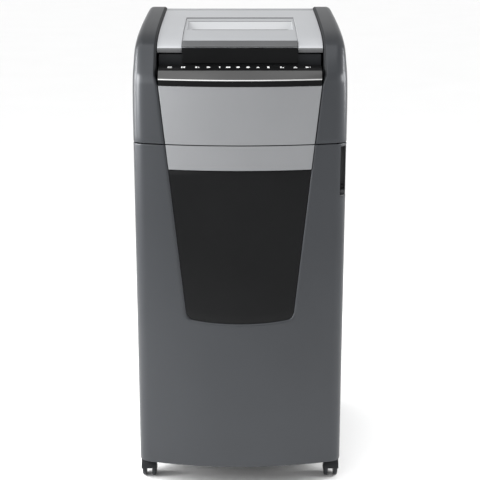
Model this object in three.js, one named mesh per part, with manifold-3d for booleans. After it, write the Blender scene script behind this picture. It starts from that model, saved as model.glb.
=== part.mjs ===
// A floor-standing automatic-feed paper shredder: a cabinet on twin-wheel casters with a hinged
// front door and a waste bin, and a head that holds the paper tray, feed rollers, cross-cut
// cutters, gears and motor under a lid. Millimetres, +Z up, the front faces -Y, and the origin
// is on the floor under the middle of the body.
import * as THREE from "three";
import { mergeVertices } from "three/addons/utils/BufferGeometryUtils.js";
import Module from "manifold-3d";

const wasm = await Module();
wasm.setup();

// ---------- driving dimensions ----------
const WIDTH = 460;
const DEPTH = 560;
const FRONT_BULGE = 36; // the front is an arc that stands this far proud of its corners
const CORNER = 24; // how far each front corner's rounding reaches in from the side
const SIDE_START_Y = -222; // the flat side begins here, behind the front corner
const REAR_CORNER = 30;
const SKIN = 4; // wall of the outer casings
const PANEL_SKIN = 3; // wall of the front panels and the lid
const GAP = 0.4; // clearance between pieces that meet
const PROUD = 0.5; // how far the front panels sit back from the casing round them

const BODY_BOTTOM = 61;
const DOOR_TOP = 800;
const HEAD_BOTTOM = 804;
const CREST = 1055.5; // highest point of the side arms
const DOOR_BACK_Y = -205;
const CABINET_FRONT_Y = -201;
const REAR_SEAM_X = 190; // the rear panel fits between the side panels' returns
const FLANGE = { x0: 206, x1: 228 }; // the cabinet's front flanges

// The head in profile: upright to the crease, leaning back to the brow, then the top line.
const CREASE = { y: -256, z: 940 };
const BROW = { y: -212, z: 991 };
const TOP_LINE = [
  [-193, 1008],
  [-147, 1023],
  [-61, 1035],
  [59, 1046.5],
  [165, 1054.5],
  [215, CREST],
  [256, 1046],
  [280, 1007],
];
const SHOULDER = { z: 880, bendZ: 985, lean: 10 }; // the sides lean in above z

// The tapered insert that runs down the front, from the control panel to the window's foot.
const INSERT_FOOT = { z: 430, half: 119, cornerHalf: 102.5, bottom: 410.6, sag: 15.2 };
const INSERT_TAPER = 0.11;
const WINDOW_TOP = 745.5;
const VIEW_HOLE = { half: 96, z0: 436, z1: 720 }; // opening in the door's inner panel
const PANEL = { bottom: 926.5, half: 172.8, rearY: -222, rearZ: 966 }; // control panel

const BASE_THICKNESS = 6;
const STEM_SOCKET = { outer: 11, inner: 5.6, top: 84 };
const DECK = { z0: 790, z1: 796, holeHalf: 116, holeY0: -104, holeY1: 0 };
const CHUTE = { half: 115, y0: -103, y1: -1, z0: 760, z1: 805, wall: 3, lip: 6 };
const BIN = { half: 196, y0: -186, y1: 262, z0: 68, rim: 712, corner: 26, edge: 8, wall: 3 };
const BIN_HAND = { half: 60, z0: 650, z1: 686 };

const HINGE = { x: -223, y: -212, pin: 3, knuckle: 6, height: 24 };
const GRIP = { x0: 216, x1: 228, z0: 686, z1: 794, undercutX: 208, frontY: -230, backY: -211, wall: 2 };

const LID_HALF = 177.6;
const ARM_INNER = 178.5; // inner face of the two side arms
const LID_DROP = 4; // the lid lies this far below the arms' crest line
const LID_FRONT_Y = -205;
const LID_REAR_Y = 168;
const LID_EDGE_Z = 989; // the lid's lower edge
const LID_HINGE = { y: 172, z: 1043, pin: 3, barrel: 8, clear: 9.5, reach: 7 };
const INSERT_HALF = 124; // half-width of the manual-feed insert in the lid
const INSERT_REAR_Y = 54;
const SLOT_HALF = 112; // half-width of the manual-feed slot
const SLOT_Y = -80;
const SLOT_WIDTH = 7;
const DUCT_BOTTOM = 975;
const HANDLE = { low: 966, high: 998.6, thickness: 3, lip: 3.6 };
const PRESS = { half: 100, y0: -30, y1: 95, z0: 940, z1: 944, stem: 12, stemY: 31, stemTop: 1012 };

const TRAY = { half: 174, y0: -200, y1: 162, ledge: 958, top: 986, wall: 3 };
const WELL = { half: 112, floor: 908, rear: 105 }; // the deep part that holds the paper
const THROAT = { half: 110, y0: -82, y1: -22 }; // the paper drops to the feed rollers here
const RECESS = { half: 170, y0: -221.4, floor: 944 }; // finger room under the lid's front edge

const CUTTER_Z = 855;
const CUTTER_FRONT_Y = -72;
const CUTTER_REAR_Y = -32;
const DISC_RADIUS = 21.5;
const DISC_NOTCH = 3.5;
const DISC_TEETH = 8;
const SHAFT_RADIUS = 14;
const JOURNAL_RADIUS = 9;
const DISC_PITCH = 18;
const DISC_THICKNESS = 8.2;
const DISCS = 12;
const GEAR_MODULE = 2.5;
const CUTTER_TEETH = 16;
const DRIVE_TEETH = 32;
const PINION_TEETH = 12;
const DRIVE_STUB = 6;
const MOTOR_STUB = 5;
const GEAR_FACE = 12;
const GEAR_X = 136; // middle of the main gear train
const PLATE_X = 125; // middle of each cutter side plate
const PLATE_THICKNESS = 6;
const PLATE = { y0: -110, z0: 797, low: 890, high: 925, leftRear: 6, stepY: 8, rightRear: 128 };
const MOTOR = { radius: 38, x0: 30, x1: 118, chamfer: 8, nose: 14, noseEnd: 121.4, boreStart: 104 };

const ROLLER_RADIUS = 12.4;
const ROLLER_AXLE = 4.5;
const ROLLER_XS = [-78, -26, 26, 78]; // middles of the rubber rollers
const ROLLER_LENGTH = 34;
const ROLLER_TEETH = 14;
const ROLLER_MODULE = 2;
const ROLLER_FACE = 8;
const ROLLER_GEAR_X = -138;
const ROLLER_FRONT_Y = -66;
const ROLLER_REAR_Y = ROLLER_FRONT_Y + ROLLER_MODULE * ROLLER_TEETH;
const ROLLER_Z = 899;
const PULLEY = { radius: 10, x0: -157.5, x1: -148.5 };
const BELT = { thickness: 2, x0: -157, x1: -149 };

const VENTS = { x0: -128, x1: -58, z0: 834, pitch: 11, height: 5, count: 7 };
const INLET = { x: 99.5, z: 838.5, half: 17.1, halfHeight: 14.1, depth: 24 };
const SWITCH = { x: 135.2, y: 273, z: 838.5, half: 8.6, halfHeight: 9 };
const FAN = { x: -93, y: 258, z: 867, half: 40, bore: 37, hub: 12, tip: 35, blades: 7, pitch: 34 };
const BOARD = { x0: -40, x1: 60, y0: 236, y1: 238, z0: 812, z1: 900 };

const CASTER_X = 212;
const CASTER_FRONT_Y = -178;
const CASTER_REAR_Y = 236;
const WHEEL_RADIUS = 22;
const WHEEL_TRAIL = 10; // the axle sits this far behind the swivel axis
const WHEEL_INNER = 6.8; // gap from the caster's middle plane to each wheel
const WHEEL_SIDES = 18;
const FENDER = { inner: 23.2, outer: 26, half: 17.5 };
const AXLE_RADIUS = 2;
const WEB_BOTTOM = 20; // daylight shows between the wheels below here
const STEM = { radius: 5, z0: 50, z1: 82 };

const CURVE_STEPS = 6;
const ROUND_STEPS = 16;
const FAR = 2000; // reaches past the whole object

// ---------- materials ----------
const finish = (color, roughness, metalness = 0) =>
  new THREE.MeshStandardMaterial({ color, roughness, metalness });
const charcoal = finish(0x565a60, 0.45);
const silver = finish(0x9fa3a8, 0.35, 0.3);
const pale = finish(0xc6cace, 0.35, 0.3);
const glossBlack = finish(0x0d0e10, 0.08);
const mattBlack = finish(0x1b1c1f, 0.6);
const steel = finish(0x9a9da0, 0.3, 1);
const hardened = finish(0x6c6e72, 0.35, 1);
const rubber = finish(0x232426, 0.85);
const binPlastic = finish(0x303236, 0.6);
const nylon = finish(0xe2e0d6, 0.5);
const board = finish(0x1f5a38, 0.5);

// ---------- solids ----------

// A closed three.js geometry as a solid that can be joined and cut.
function solid(geometry) {
  const bare = new THREE.BufferGeometry();
  bare.setAttribute("position", geometry.getAttribute("position"));
  if (geometry.index) bare.setIndex(geometry.index);
  const merged = mergeVertices(bare, 1e-4);
  return new wasm.Manifold(
    new wasm.Mesh({
      numProp: 3,
      vertProperties: merged.attributes.position.array,
      triVerts: new Uint32Array(merged.index.array),
    }),
  );
}

// Where an outline's two directions and its sweep point, for a sweep along each axis.
const SWEEPS = {
  x: new THREE.Matrix4().set(0, 0, 1, 0, 1, 0, 0, 0, 0, 1, 0, 0, 0, 0, 0, 1),
  y: new THREE.Matrix4().set(1, 0, 0, 0, 0, 0, -1, 0, 0, 1, 0, 0, 0, 0, 0, 1),
  z: new THREE.Matrix4(),
};

// An outline swept straight from low to high along an axis. It is drawn in (y, z) for x,
// in (x, z) for y and in (x, y) for z, as a THREE.Shape or a list of points.
function prism(outline, low, high, axis = "z") {
  const shape = Array.isArray(outline)
    ? new THREE.Shape(outline.map(([u, v]) => new THREE.Vector2(u, v)))
    : outline;
  const geometry = new THREE.ExtrudeGeometry(shape, {
    depth: high - low,
    bevelEnabled: false,
    curveSegments: CURVE_STEPS,
  });
  geometry.applyMatrix4(SWEEPS[axis]);
  const start = axis === "y" ? high : low; // the y sweep runs backwards, which keeps faces outward
  geometry.translate(axis === "x" ? start : 0, axis === "y" ? start : 0, axis === "z" ? start : 0);
  return solid(geometry);
}

function box(x0, x1, y0, y1, z0, z1) {
  const geometry = new THREE.BoxGeometry(x1 - x0, y1 - y0, z1 - z0);
  geometry.translate((x0 + x1) / 2, (y0 + y1) / 2, (z0 + z1) / 2);
  return solid(geometry);
}

// A round bar along x, y or z from low to high, with its axis through (u, v), the other two
// coordinates in x, y, z order.
function rod(radius, low, high, axis, u = 0, v = 0, steps = ROUND_STEPS) {
  const geometry = new THREE.CylinderGeometry(radius, radius, high - low, steps);
  const middle = (low + high) / 2;
  if (axis === "x") geometry.rotateZ(-Math.PI / 2).translate(middle, u, v);
  if (axis === "y") geometry.translate(u, middle, v);
  if (axis === "z") geometry.rotateX(Math.PI / 2).translate(u, v, middle);
  return solid(geometry);
}

// A profile of (radius, distance along the axis) points turned round the x axis.
function turned(profile, steps = ROUND_STEPS) {
  const points = profile.map(([radius, along]) => new THREE.Vector2(radius, along));
  return solid(new THREE.LatheGeometry(points, steps).rotateZ(-Math.PI / 2));
}

const mirrored = (shape) => shape.mirror([1, 0, 0]);
const union = (...shapes) => shapes.reduce((sum, next) => sum.add(next));

// ---------- the scene graph ----------
const shredder = new THREE.Group();

// A group at a point, for pieces that share a centre.
function groupAt(x, y, z) {
  const group = new THREE.Group();
  group.position.set(x, y, z);
  shredder.add(group);
  return group;
}

function place(name, shape, material, parent = shredder) {
  const { vertProperties, triVerts } = shape.getMesh();
  const geometry = new THREE.BufferGeometry();
  geometry.setAttribute("position", new THREE.BufferAttribute(vertProperties, 3));
  geometry.setIndex(new THREE.BufferAttribute(triVerts, 1));
  const flat = geometry.toNonIndexed();
  flat.computeVertexNormals();
  const mesh = new THREE.Mesh(flat, material);
  mesh.name = name;
  parent.add(mesh);
  return mesh;
}

// ---------- body outlines ----------
const FRONT_RADIUS = ((WIDTH / 2) ** 2 + FRONT_BULGE ** 2) / (2 * FRONT_BULGE);
const FRONT_CENTRE_Y = -DEPTH / 2 + FRONT_RADIUS;

// Where the curved front lies at a given x, moved in by inset.
const frontY = (x, inset = 0) => FRONT_CENTRE_Y - Math.sqrt((FRONT_RADIUS - inset) ** 2 - x * x);

// The body seen from above: a bulged front, rounded corners and straight sides.
function bodyPlan(inset) {
  const half = WIDTH / 2 - inset;
  const rear = DEPTH / 2 - inset;
  const cornerX = WIDTH / 2 - CORNER;
  const rearCorner = REAR_CORNER - inset;
  const swing = Math.asin(cornerX / (FRONT_RADIUS - inset));
  const shape = new THREE.Shape();
  shape.moveTo(-half, rear - rearCorner);
  shape.lineTo(-half, SIDE_START_Y);
  shape.quadraticCurveTo(-half, frontY(half, inset), -cornerX, frontY(cornerX, inset));
  shape.absarc(0, FRONT_CENTRE_Y, FRONT_RADIUS - inset, -Math.PI / 2 - swing, -Math.PI / 2 + swing);
  shape.quadraticCurveTo(half, frontY(half, inset), half, SIDE_START_Y);
  shape.lineTo(half, rear - rearCorner);
  shape.quadraticCurveTo(half, rear, half - rearCorner, rear);
  shape.lineTo(-half + rearCorner, rear);
  shape.quadraticCurveTo(-half, rear, -half, rear - rearCorner);
  return shape;
}

const bodyBlock = (inset, low, high) => prism(bodyPlan(inset), low, high);
const bodyShell = (inset, wall, low, high) =>
  bodyBlock(inset, low, high).subtract(bodyBlock(inset + wall, low - 1, high + 1));

// The head seen from the side. Drop lowers the top line, and inset moves the lean back.
function headProfile(drop, inset = 0) {
  const shape = new THREE.Shape();
  shape.moveTo(-DEPTH, BODY_BOTTOM);
  shape.lineTo(-DEPTH, CREASE.z - drop);
  shape.lineTo(CREASE.y + inset, CREASE.z - drop);
  shape.lineTo(BROW.y + inset, BROW.z - drop);
  shape.splineThru(TOP_LINE.map(([y, z]) => new THREE.Vector2(y, z - drop)));
  shape.lineTo(DEPTH / 2 + 1, BODY_BOTTOM);
  return shape;
}

// The head seen from the front: upright sides that lean in towards the crest.
function shoulderOutline(inset) {
  const half = WIDTH / 2 - inset;
  const top = half - SHOULDER.lean;
  const shape = new THREE.Shape();
  shape.moveTo(-half, BODY_BOTTOM);
  shape.lineTo(half, BODY_BOTTOM);
  shape.lineTo(half, SHOULDER.z);
  shape.quadraticCurveTo(half - 1, SHOULDER.bendZ, top, CREST + 1);
  shape.lineTo(-top, CREST + 1);
  shape.quadraticCurveTo(-half + 1, SHOULDER.bendZ, -half, SHOULDER.z);
  return shape;
}

function headBlock(inset, drop = 0) {
  const low = HEAD_BOTTOM - (inset > 0 ? 1 : 0); // an inner block breaks through the bottom
  return bodyBlock(inset, low, CREST + 1)
    .intersect(prism(headProfile(drop + inset, inset), -WIDTH, WIDTH, "x"))
    .intersect(prism(shoulderOutline(inset), -DEPTH, DEPTH, "y"));
}

// Half the tapered insert's width at a given height.
const insertHalf = (z) => INSERT_FOOT.half + INSERT_TAPER * (z - INSERT_FOOT.z);

// The insert's outline from low to high as a block that cuts the body's front. The rounded one
// ends in the insert's foot, which sags in the middle.
function insertBlock(low, high, inset, rounded = false) {
  const foot = insertHalf(INSERT_FOOT.z) - inset;
  const bottom = INSERT_FOOT.bottom + inset;
  const shape = new THREE.Shape();
  shape.moveTo(insertHalf(high) - inset, high);
  shape.lineTo(-insertHalf(high) + inset, high);
  if (rounded) {
    shape.lineTo(-foot, INSERT_FOOT.z);
    shape.quadraticCurveTo(-foot + 2, bottom + 1, -INSERT_FOOT.cornerHalf, bottom);
    shape.quadraticCurveTo(0, bottom - INSERT_FOOT.sag, INSERT_FOOT.cornerHalf, bottom);
    shape.quadraticCurveTo(foot - 2, bottom + 1, foot, INSERT_FOOT.z);
  } else {
    shape.lineTo(-insertHalf(low) + inset, low);
    shape.lineTo(insertHalf(low) - inset, low);
  }
  return prism(shape, -DEPTH, CABINET_FRONT_Y, "y");
}

// ---------- cabinet ----------
const CASTER_PLACES = [
  ["front_left", -CASTER_X, CASTER_FRONT_Y],
  ["front_right", CASTER_X, CASTER_FRONT_Y],
  ["rear_left", -CASTER_X, CASTER_REAR_Y],
  ["rear_right", CASTER_X, CASTER_REAR_Y],
];

// A side panel wraps from its front flange round the rear corner.
function cabinetSide() {
  const wall = bodyShell(0, SKIN, BODY_BOTTOM, DOOR_TOP).intersect(
    box(REAR_SEAM_X, WIDTH, CABINET_FRONT_Y, DEPTH, 0, CREST),
  );
  const { x0, x1 } = FLANGE;
  return wall.add(box(x0, x1, CABINET_FRONT_Y, CABINET_FRONT_Y + SKIN, BODY_BOTTOM, DOOR_TOP));
}

// A level plate that fills the cabinet's plan between its walls.
function cabinetFloor(low, high) {
  const front = CABINET_FRONT_Y + SKIN + GAP;
  const rear = DEPTH / 2 - SKIN - GAP;
  return bodyBlock(SKIN + GAP, low, high).intersect(box(-WIDTH, WIDTH, front, rear, low, high));
}

// The base is a pan whose corners carry a socket for each caster stem.
function basePan() {
  let base = cabinetFloor(BODY_BOTTOM, BODY_BOTTOM + BASE_THICKNESS);
  for (const [, x, y] of CASTER_PLACES)
    base = base.add(rod(STEM_SOCKET.outer, BODY_BOTTOM, STEM_SOCKET.top, "z", x, y, 12));
  for (const [, x, y] of CASTER_PLACES)
    base = base.subtract(rod(STEM_SOCKET.inner, 0, STEM_SOCKET.top + 1, "z", x, y, 12));
  return base;
}

// The deck carries the cutting unit and has an opening under the cutters.
function deckPlate() {
  const { holeHalf, holeY0, holeY1 } = DECK;
  return cabinetFloor(DECK.z0, DECK.z1).subtract(box(-holeHalf, holeHalf, holeY0, holeY1, 0, CREST));
}

// A funnel that hangs in the deck opening and guides the shreds into the bin.
function shredChute() {
  const { half, y0, y1, z0, z1, wall, lip } = CHUTE;
  const tube = box(-half, half, y0, y1, z0, z1);
  const flange = box(-half - lip, half + lip, y0 - lip, y1 + lip, DECK.z1 + GAP, DECK.z1 + wall);
  return union(tube, flange).subtract(box(-half + wall, half - wall, y0 + wall, y1 - wall, 0, CREST));
}

// A tapered open tub with a rolled rim and a hand grip cut in its front wall.
function wasteBin() {
  const { z0, rim, edge, wall } = BIN;
  const tub = (inset, low, high) => {
    const half = BIN.half - inset;
    const front = BIN.y0 + inset;
    const rear = BIN.y1 - inset;
    const r = BIN.corner - inset;
    const shape = new THREE.Shape();
    shape.moveTo(-half + r, front);
    shape.lineTo(half - r, front);
    shape.quadraticCurveTo(half, front, half, front + r);
    shape.lineTo(half, rear - r);
    shape.quadraticCurveTo(half, rear, half - r, rear);
    shape.lineTo(-half + r, rear);
    shape.quadraticCurveTo(-half, rear, -half, rear - r);
    shape.lineTo(-half, front + r);
    shape.quadraticCurveTo(-half, front, -half + r, front);
    return prism(shape, low, high);
  };
  const wallPart = tub(edge - wall, z0, rim).subtract(tub(edge, z0 + wall, rim + 1));
  const rimPart = tub(0, rim - edge, rim).subtract(tub(edge, rim - edge - 1, rim + 1));
  const { half, z0: handLow, z1: handHigh } = BIN_HAND;
  return union(wallPart, rimPart).subtract(
    box(-half, half, BIN.y0 - 1, BIN.y0 + 2 * edge, handLow, handHigh),
  );
}

function buildCabinet() {
  const side = cabinetSide();
  const rearX = REAR_SEAM_X - GAP;
  place("cabinet_right_panel", side, charcoal);
  place("cabinet_left_panel", mirrored(side), charcoal);
  place(
    "cabinet_rear_panel",
    box(-rearX, rearX, DEPTH / 2 - SKIN, DEPTH / 2, BODY_BOTTOM, DOOR_TOP),
    charcoal,
  );
  place("base_pan", basePan(), mattBlack);
  place("deck_plate", deckPlate(), steel);
  place("shred_chute", shredChute(), mattBlack);
  place("waste_bin", wasteBin(), binPlastic);
}

// ---------- door ----------

// The room that the grip takes out of the door's right edge, grown by a margin.
function gripPocket(margin, open) {
  const high = GRIP.z1 + margin;
  const low = GRIP.z0 - margin;
  const back = GRIP.backY + margin;
  const mouthY = open ? -DEPTH : GRIP.frontY - 2 * BASE_THICKNESS;
  return union(
    box(GRIP.x0 - margin, GRIP.x1 + margin, mouthY, back, low, high),
    box(GRIP.undercutX - margin, GRIP.x1 + margin, GRIP.frontY - margin, back, low, high),
  );
}

// The door's outer casing: a shallow box with an open back and the insert's shape cut out.
function doorShell() {
  const zone = (low, high, inset) =>
    bodyBlock(inset, low, high).intersect(box(-WIDTH, WIDTH, -DEPTH, DOOR_BACK_Y + (inset && 1), 0, CREST));
  const tieBar = box(-170, 170, -226, DOOR_BACK_Y, DOOR_TOP - 12, DOOR_TOP);
  const { x, y, pin, knuckle, height } = HINGE;
  let shell = zone(BODY_BOTTOM, DOOR_TOP, 0)
    .subtract(zone(BODY_BOTTOM + SKIN, DOOR_TOP - SKIN, SKIN))
    .subtract(insertBlock(INSERT_FOOT.bottom - 10, DOOR_TOP + 1, 0, true))
    .subtract(gripPocket(GRIP.wall + GAP, true))
    .add(tieBar)
    .add(rod(knuckle, BODY_BOTTOM, BODY_BOTTOM + height, "z", x, y))
    .add(rod(knuckle, DOOR_TOP - height, DOOR_TOP, "z", x, y));
  const bore = pin + GAP;
  shell = shell.subtract(rod(bore, BODY_BOTTOM - 1, BODY_BOTTOM + 16, "z", x, y));
  return shell.subtract(rod(bore, DOOR_TOP - 16, DOOR_TOP + 1, "z", x, y));
}

// A panel of the front insert, which follows the bulge behind the casing's surface.
const insertSkin = (inset, low, high) =>
  bodyShell(inset, PANEL_SKIN, low, high).intersect(box(-WIDTH, WIDTH, -DEPTH, -228, low, high));

function buildDoor() {
  place("door_shell", doorShell(), charcoal);
  place(
    "door_band",
    insertSkin(PROUD, WINDOW_TOP + 2, DOOR_TOP).intersect(insertBlock(700, DOOR_TOP + 1, PROUD)),
    silver,
  );
  place(
    "door_window",
    insertSkin(4 * PROUD, 380, WINDOW_TOP).intersect(insertBlock(400, WINDOW_TOP, PROUD, true)),
    glossBlack,
  );

  // The inner panel closes the door's back, with an opening behind the window.
  const { half, z0, z1 } = VIEW_HOLE;
  const liner = box(-218, 204, DOOR_BACK_Y - SKIN, DOOR_BACK_Y, BODY_BOTTOM + 30, DOOR_TOP - 26);
  place("door_inner_panel", liner.subtract(box(-half, half, -DEPTH, 0, z0, z1)), mattBlack);

  const cup = gripPocket(GRIP.wall, false)
    .subtract(gripPocket(0, true))
    .intersect(bodyBlock(PROUD + 0.1, GRIP.z0 - GRIP.wall, GRIP.z1 + GRIP.wall));
  place("door_grip", cup, mattBlack);

  // A steel strip on the door's free edge meets the cabinet's magnet, and a striker on it
  // presses the safety switch.
  const strike = union(
    box(186, 202, DOOR_BACK_Y + GAP, DOOR_BACK_Y + 2, 590, 650),
    box(190, 196, DOOR_BACK_Y + GAP, DOOR_BACK_Y + 9, 636, 640),
  );
  place("door_strike_plate", strike, steel);
}

// Each hinge is a bracket with a pin: one under the door, one in the gap above it.
function buildHinges() {
  const { x, y, pin: radius } = HINGE;
  const arm = (low, high) => box(x - 6, x + 9, y - 5, CABINET_FRONT_Y + 14, low, high);
  const pin = (low, high) => rod(radius, low, high, "z", x, y, 14);
  const lower = arm(BODY_BOTTOM - 5, BODY_BOTTOM - GAP).add(pin(BODY_BOTTOM - 4, BODY_BOTTOM + 15));
  const upper = arm(DOOR_TOP + GAP, HEAD_BOTTOM - GAP).add(pin(DOOR_TOP - 15, HEAD_BOTTOM - 1));
  place("door_hinge_lower", lower, steel);
  place("door_hinge_upper", upper, steel);
}

// The magnet and the safety switch stand on the cabinet's right front flange.
function buildDoorCatch() {
  const x0 = FLANGE.x0 - 20;
  const x1 = FLANGE.x0 - GAP;
  place("door_magnet", box(x0, x1, -200, -180, 596, 628), mattBlack);
  place("door_safety_switch", box(x0, x1, -194, -176, 632, 652), mattBlack);
}

// ---------- head casings ----------

// A side arm: a closed upper limb beside the lid, and a front strip that meets the silver panel.
function headSide() {
  const outer = headBlock(0);
  const beside = (x) => box(x, WIDTH, -DEPTH, DEPTH, 0, FAR);
  const limb = outer
    .intersect(beside(ARM_INNER))
    .subtract(headBlock(SKIN).intersect(beside(ARM_INNER + SKIN)));
  const strip = outer
    .subtract(bodyBlock(SKIN, 0, FAR))
    .intersect(box(150, ARM_INNER + 1, -DEPTH, -226, HEAD_BOTTOM, CREASE.z - PROUD))
    .subtract(insertBlock(HEAD_BOTTOM - 1, FAR / 2, 0));
  const { y, z, pin, reach } = LID_HINGE;
  return union(limb, strip).subtract(rod(pin + GAP, 150, ARM_INNER + reach + 1, "x", y, z, 14));
}

// The control panel rises from the silver panel, turns at the crease and slopes back.
function controlPanel() {
  const outline = (back, drop) => {
    const rear = PANEL.rearY - back;
    const shape = new THREE.Shape();
    shape.moveTo(-DEPTH, PANEL.bottom);
    shape.lineTo(-DEPTH, CREASE.z - 1.5 - drop);
    shape.lineTo(-DEPTH / 2 + 2 + back, CREASE.z - 1 - drop);
    shape.quadraticCurveTo(-248, 957 - drop, rear, PANEL.rearZ - drop);
    shape.lineTo(rear, PANEL.bottom);
    return prism(shape, -PANEL.half + back, PANEL.half - back, "x");
  };
  const block = (back, drop, inset) =>
    outline(back, drop).intersect(bodyBlock(inset, PANEL.bottom - drop, FAR / 2));
  return block(0, 0, PROUD).subtract(block(PANEL_SKIN, PANEL_SKIN, PROUD + PANEL_SKIN));
}

// The fixed cover behind the lid, with vents for the fan and openings for the electrics.
function headRearCover() {
  const half = ARM_INNER - 0.6;
  const { y, z, clear } = LID_HINGE;
  const cutOut = (x0, x1, z0, z1) => box(x0, x1, DEPTH / 2 - 10, DEPTH / 2 + 10, z0, z1);
  let cover = headBlock(0, LID_DROP)
    .subtract(headBlock(SKIN, LID_DROP))
    .intersect(box(-half, half, y + 6, DEPTH, 0, FAR))
    .subtract(rod(clear, -WIDTH, WIDTH, "x", y, z, 28));
  for (let i = 0; i < VENTS.count; i++) {
    const low = VENTS.z0 + i * VENTS.pitch;
    cover = cover.subtract(cutOut(VENTS.x0, VENTS.x1, low, low + VENTS.height));
  }
  const inletHalf = INLET.half + GAP;
  const inletHigh = INLET.halfHeight + GAP;
  cover = cover.subtract(
    cutOut(INLET.x - inletHalf, INLET.x + inletHalf, INLET.z - inletHigh, INLET.z + inletHigh),
  );
  const rocker = SWITCH.half + 1.5;
  const rockerHigh = SWITCH.halfHeight + 3.5;
  return cover.subtract(
    cutOut(SWITCH.x - rocker, SWITCH.x + rocker, SWITCH.z - rockerHigh, SWITCH.z + rockerHigh),
  );
}

// A stepped pan: a wide shallow rim under the lid, a deep well for the stack of paper, and the
// finger recess in front of them.
function paperTray() {
  const { half, y0, y1, ledge, top, wall } = TRAY;
  const outer = union(
    box(-half, half, y0, y1, ledge - wall, top),
    box(-WELL.half - wall, WELL.half + wall, y0, WELL.rear + wall, WELL.floor - wall, ledge),
    box(-RECESS.half, RECESS.half, RECESS.y0, y0 + 1, RECESS.floor - wall, RECESS.floor),
    box(-RECESS.half, RECESS.half, y0, y0 + wall, RECESS.floor - wall, ledge),
  );
  const rim = box(-half + wall, half - wall, y0 + wall, y1 - wall, ledge, FAR);
  const well = box(-WELL.half, WELL.half, y0 + wall, WELL.rear, WELL.floor, FAR);
  const throat = box(-THROAT.half, THROAT.half, THROAT.y0, THROAT.y1, 0, WELL.floor + 1);
  return outer.subtract(rim).subtract(well).subtract(throat);
}

function buildHead() {
  const side = headSide();
  place("head_right_side", side, charcoal);
  place("head_left_side", mirrored(side), charcoal);
  const panel = insertSkin(PROUD, HEAD_BOTTOM, PANEL.bottom - 1.2).intersect(
    insertBlock(HEAD_BOTTOM - 1, CREASE.z, PROUD),
  );
  place("head_front_panel", panel, silver);
  place("control_panel", controlPanel(), glossBlack);
  place("head_rear_cover", headRearCover(), charcoal);
  place("paper_tray", paperTray(), mattBlack);
  const { y, z, pin, reach } = LID_HINGE;
  place("lid_hinge_rod", rod(pin, -ARM_INNER - reach, ARM_INNER + reach, "x", y, z, 14), steel);
}

// ---------- lid ----------
const lidBlock = (drop, half, y0, y1) =>
  prism(headProfile(LID_DROP + drop), -half, half, "x").intersect(
    box(-WIDTH, WIDTH, y0, y1, CREASE.z, CREST + 1),
  );

const LID_SKIN = PANEL_SKIN + PROUD;
const SLOT = { y0: SLOT_Y - SLOT_WIDTH / 2, y1: SLOT_Y + SLOT_WIDTH / 2, z: 1014 };
const RAMP_TOP = { y: 8, z: 1034 }; // the trough's ramp runs up from the slot to here

function lidShell() {
  const { y, z, pin, barrel } = LID_HINGE;
  const openingHalf = INSERT_HALF + 0.6;
  const skin = lidBlock(0, LID_HALF, LID_FRONT_Y, LID_REAR_Y)
    .subtract(
      lidBlock(LID_SKIN, LID_HALF - PANEL_SKIN, LID_FRONT_Y + PANEL_SKIN, LID_REAR_Y - PANEL_SKIN),
    )
    .intersect(box(-WIDTH, WIDTH, -DEPTH, DEPTH, LID_EDGE_Z, FAR));
  return skin
    .add(rod(barrel, -LID_HALF, LID_HALF, "x", y, z, 24))
    .subtract(rod(pin + GAP, -WIDTH, WIDTH, "x", y, z, 14))
    .subtract(box(-openingHalf, openingHalf, -DEPTH, INSERT_REAR_Y + 0.6, 0, FAR));
}

// The insert's top dips as a ramp from the rear down to the manual-feed slot, whose duct hangs
// into the tray.
function manualFeedInsert() {
  const across = (points, half) => prism(points, -half, half, "x");
  const wall = PANEL_SKIN;
  const trough = across(
    [
      [SLOT.y0, FAR],
      [SLOT.y0, SLOT.z],
      [SLOT.y1, SLOT.z],
      [RAMP_TOP.y, RAMP_TOP.z],
      [RAMP_TOP.y + 2, FAR],
    ],
    SLOT_HALF,
  );
  const slab = lidBlock(0, INSERT_HALF, LID_FRONT_Y, INSERT_REAR_Y)
    .subtract(lidBlock(LID_SKIN, INSERT_HALF - wall, LID_FRONT_Y + wall, INSERT_REAR_Y - wall))
    .intersect(box(-WIDTH, WIDTH, -DEPTH, DEPTH, HANDLE.high + GAP, FAR));
  const belowRamp = across(
    [
      [SLOT.y0 - 1, 0],
      [SLOT.y0 - 1, SLOT.z - 4],
      [SLOT.y1, SLOT.z - 4],
      [RAMP_TOP.y + 13, RAMP_TOP.z - 2],
      [RAMP_TOP.y + 13, 0],
    ],
    WIDTH,
  );
  const ramp = lidBlock(wall, INSERT_HALF - 1, SLOT.y0, RAMP_TOP.y + 12).subtract(belowRamp);
  const ductHalf = SLOT_HALF + wall;
  const duct = box(-ductHalf, ductHalf, SLOT.y0 - wall, SLOT.y1 + wall, DUCT_BOTTOM, SLOT.z + 8);
  return union(slab, ramp, duct)
    .subtract(trough)
    .subtract(box(-SLOT_HALF, SLOT_HALF, SLOT.y0, SLOT.y1, 0, SLOT.z + 16));
}

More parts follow.
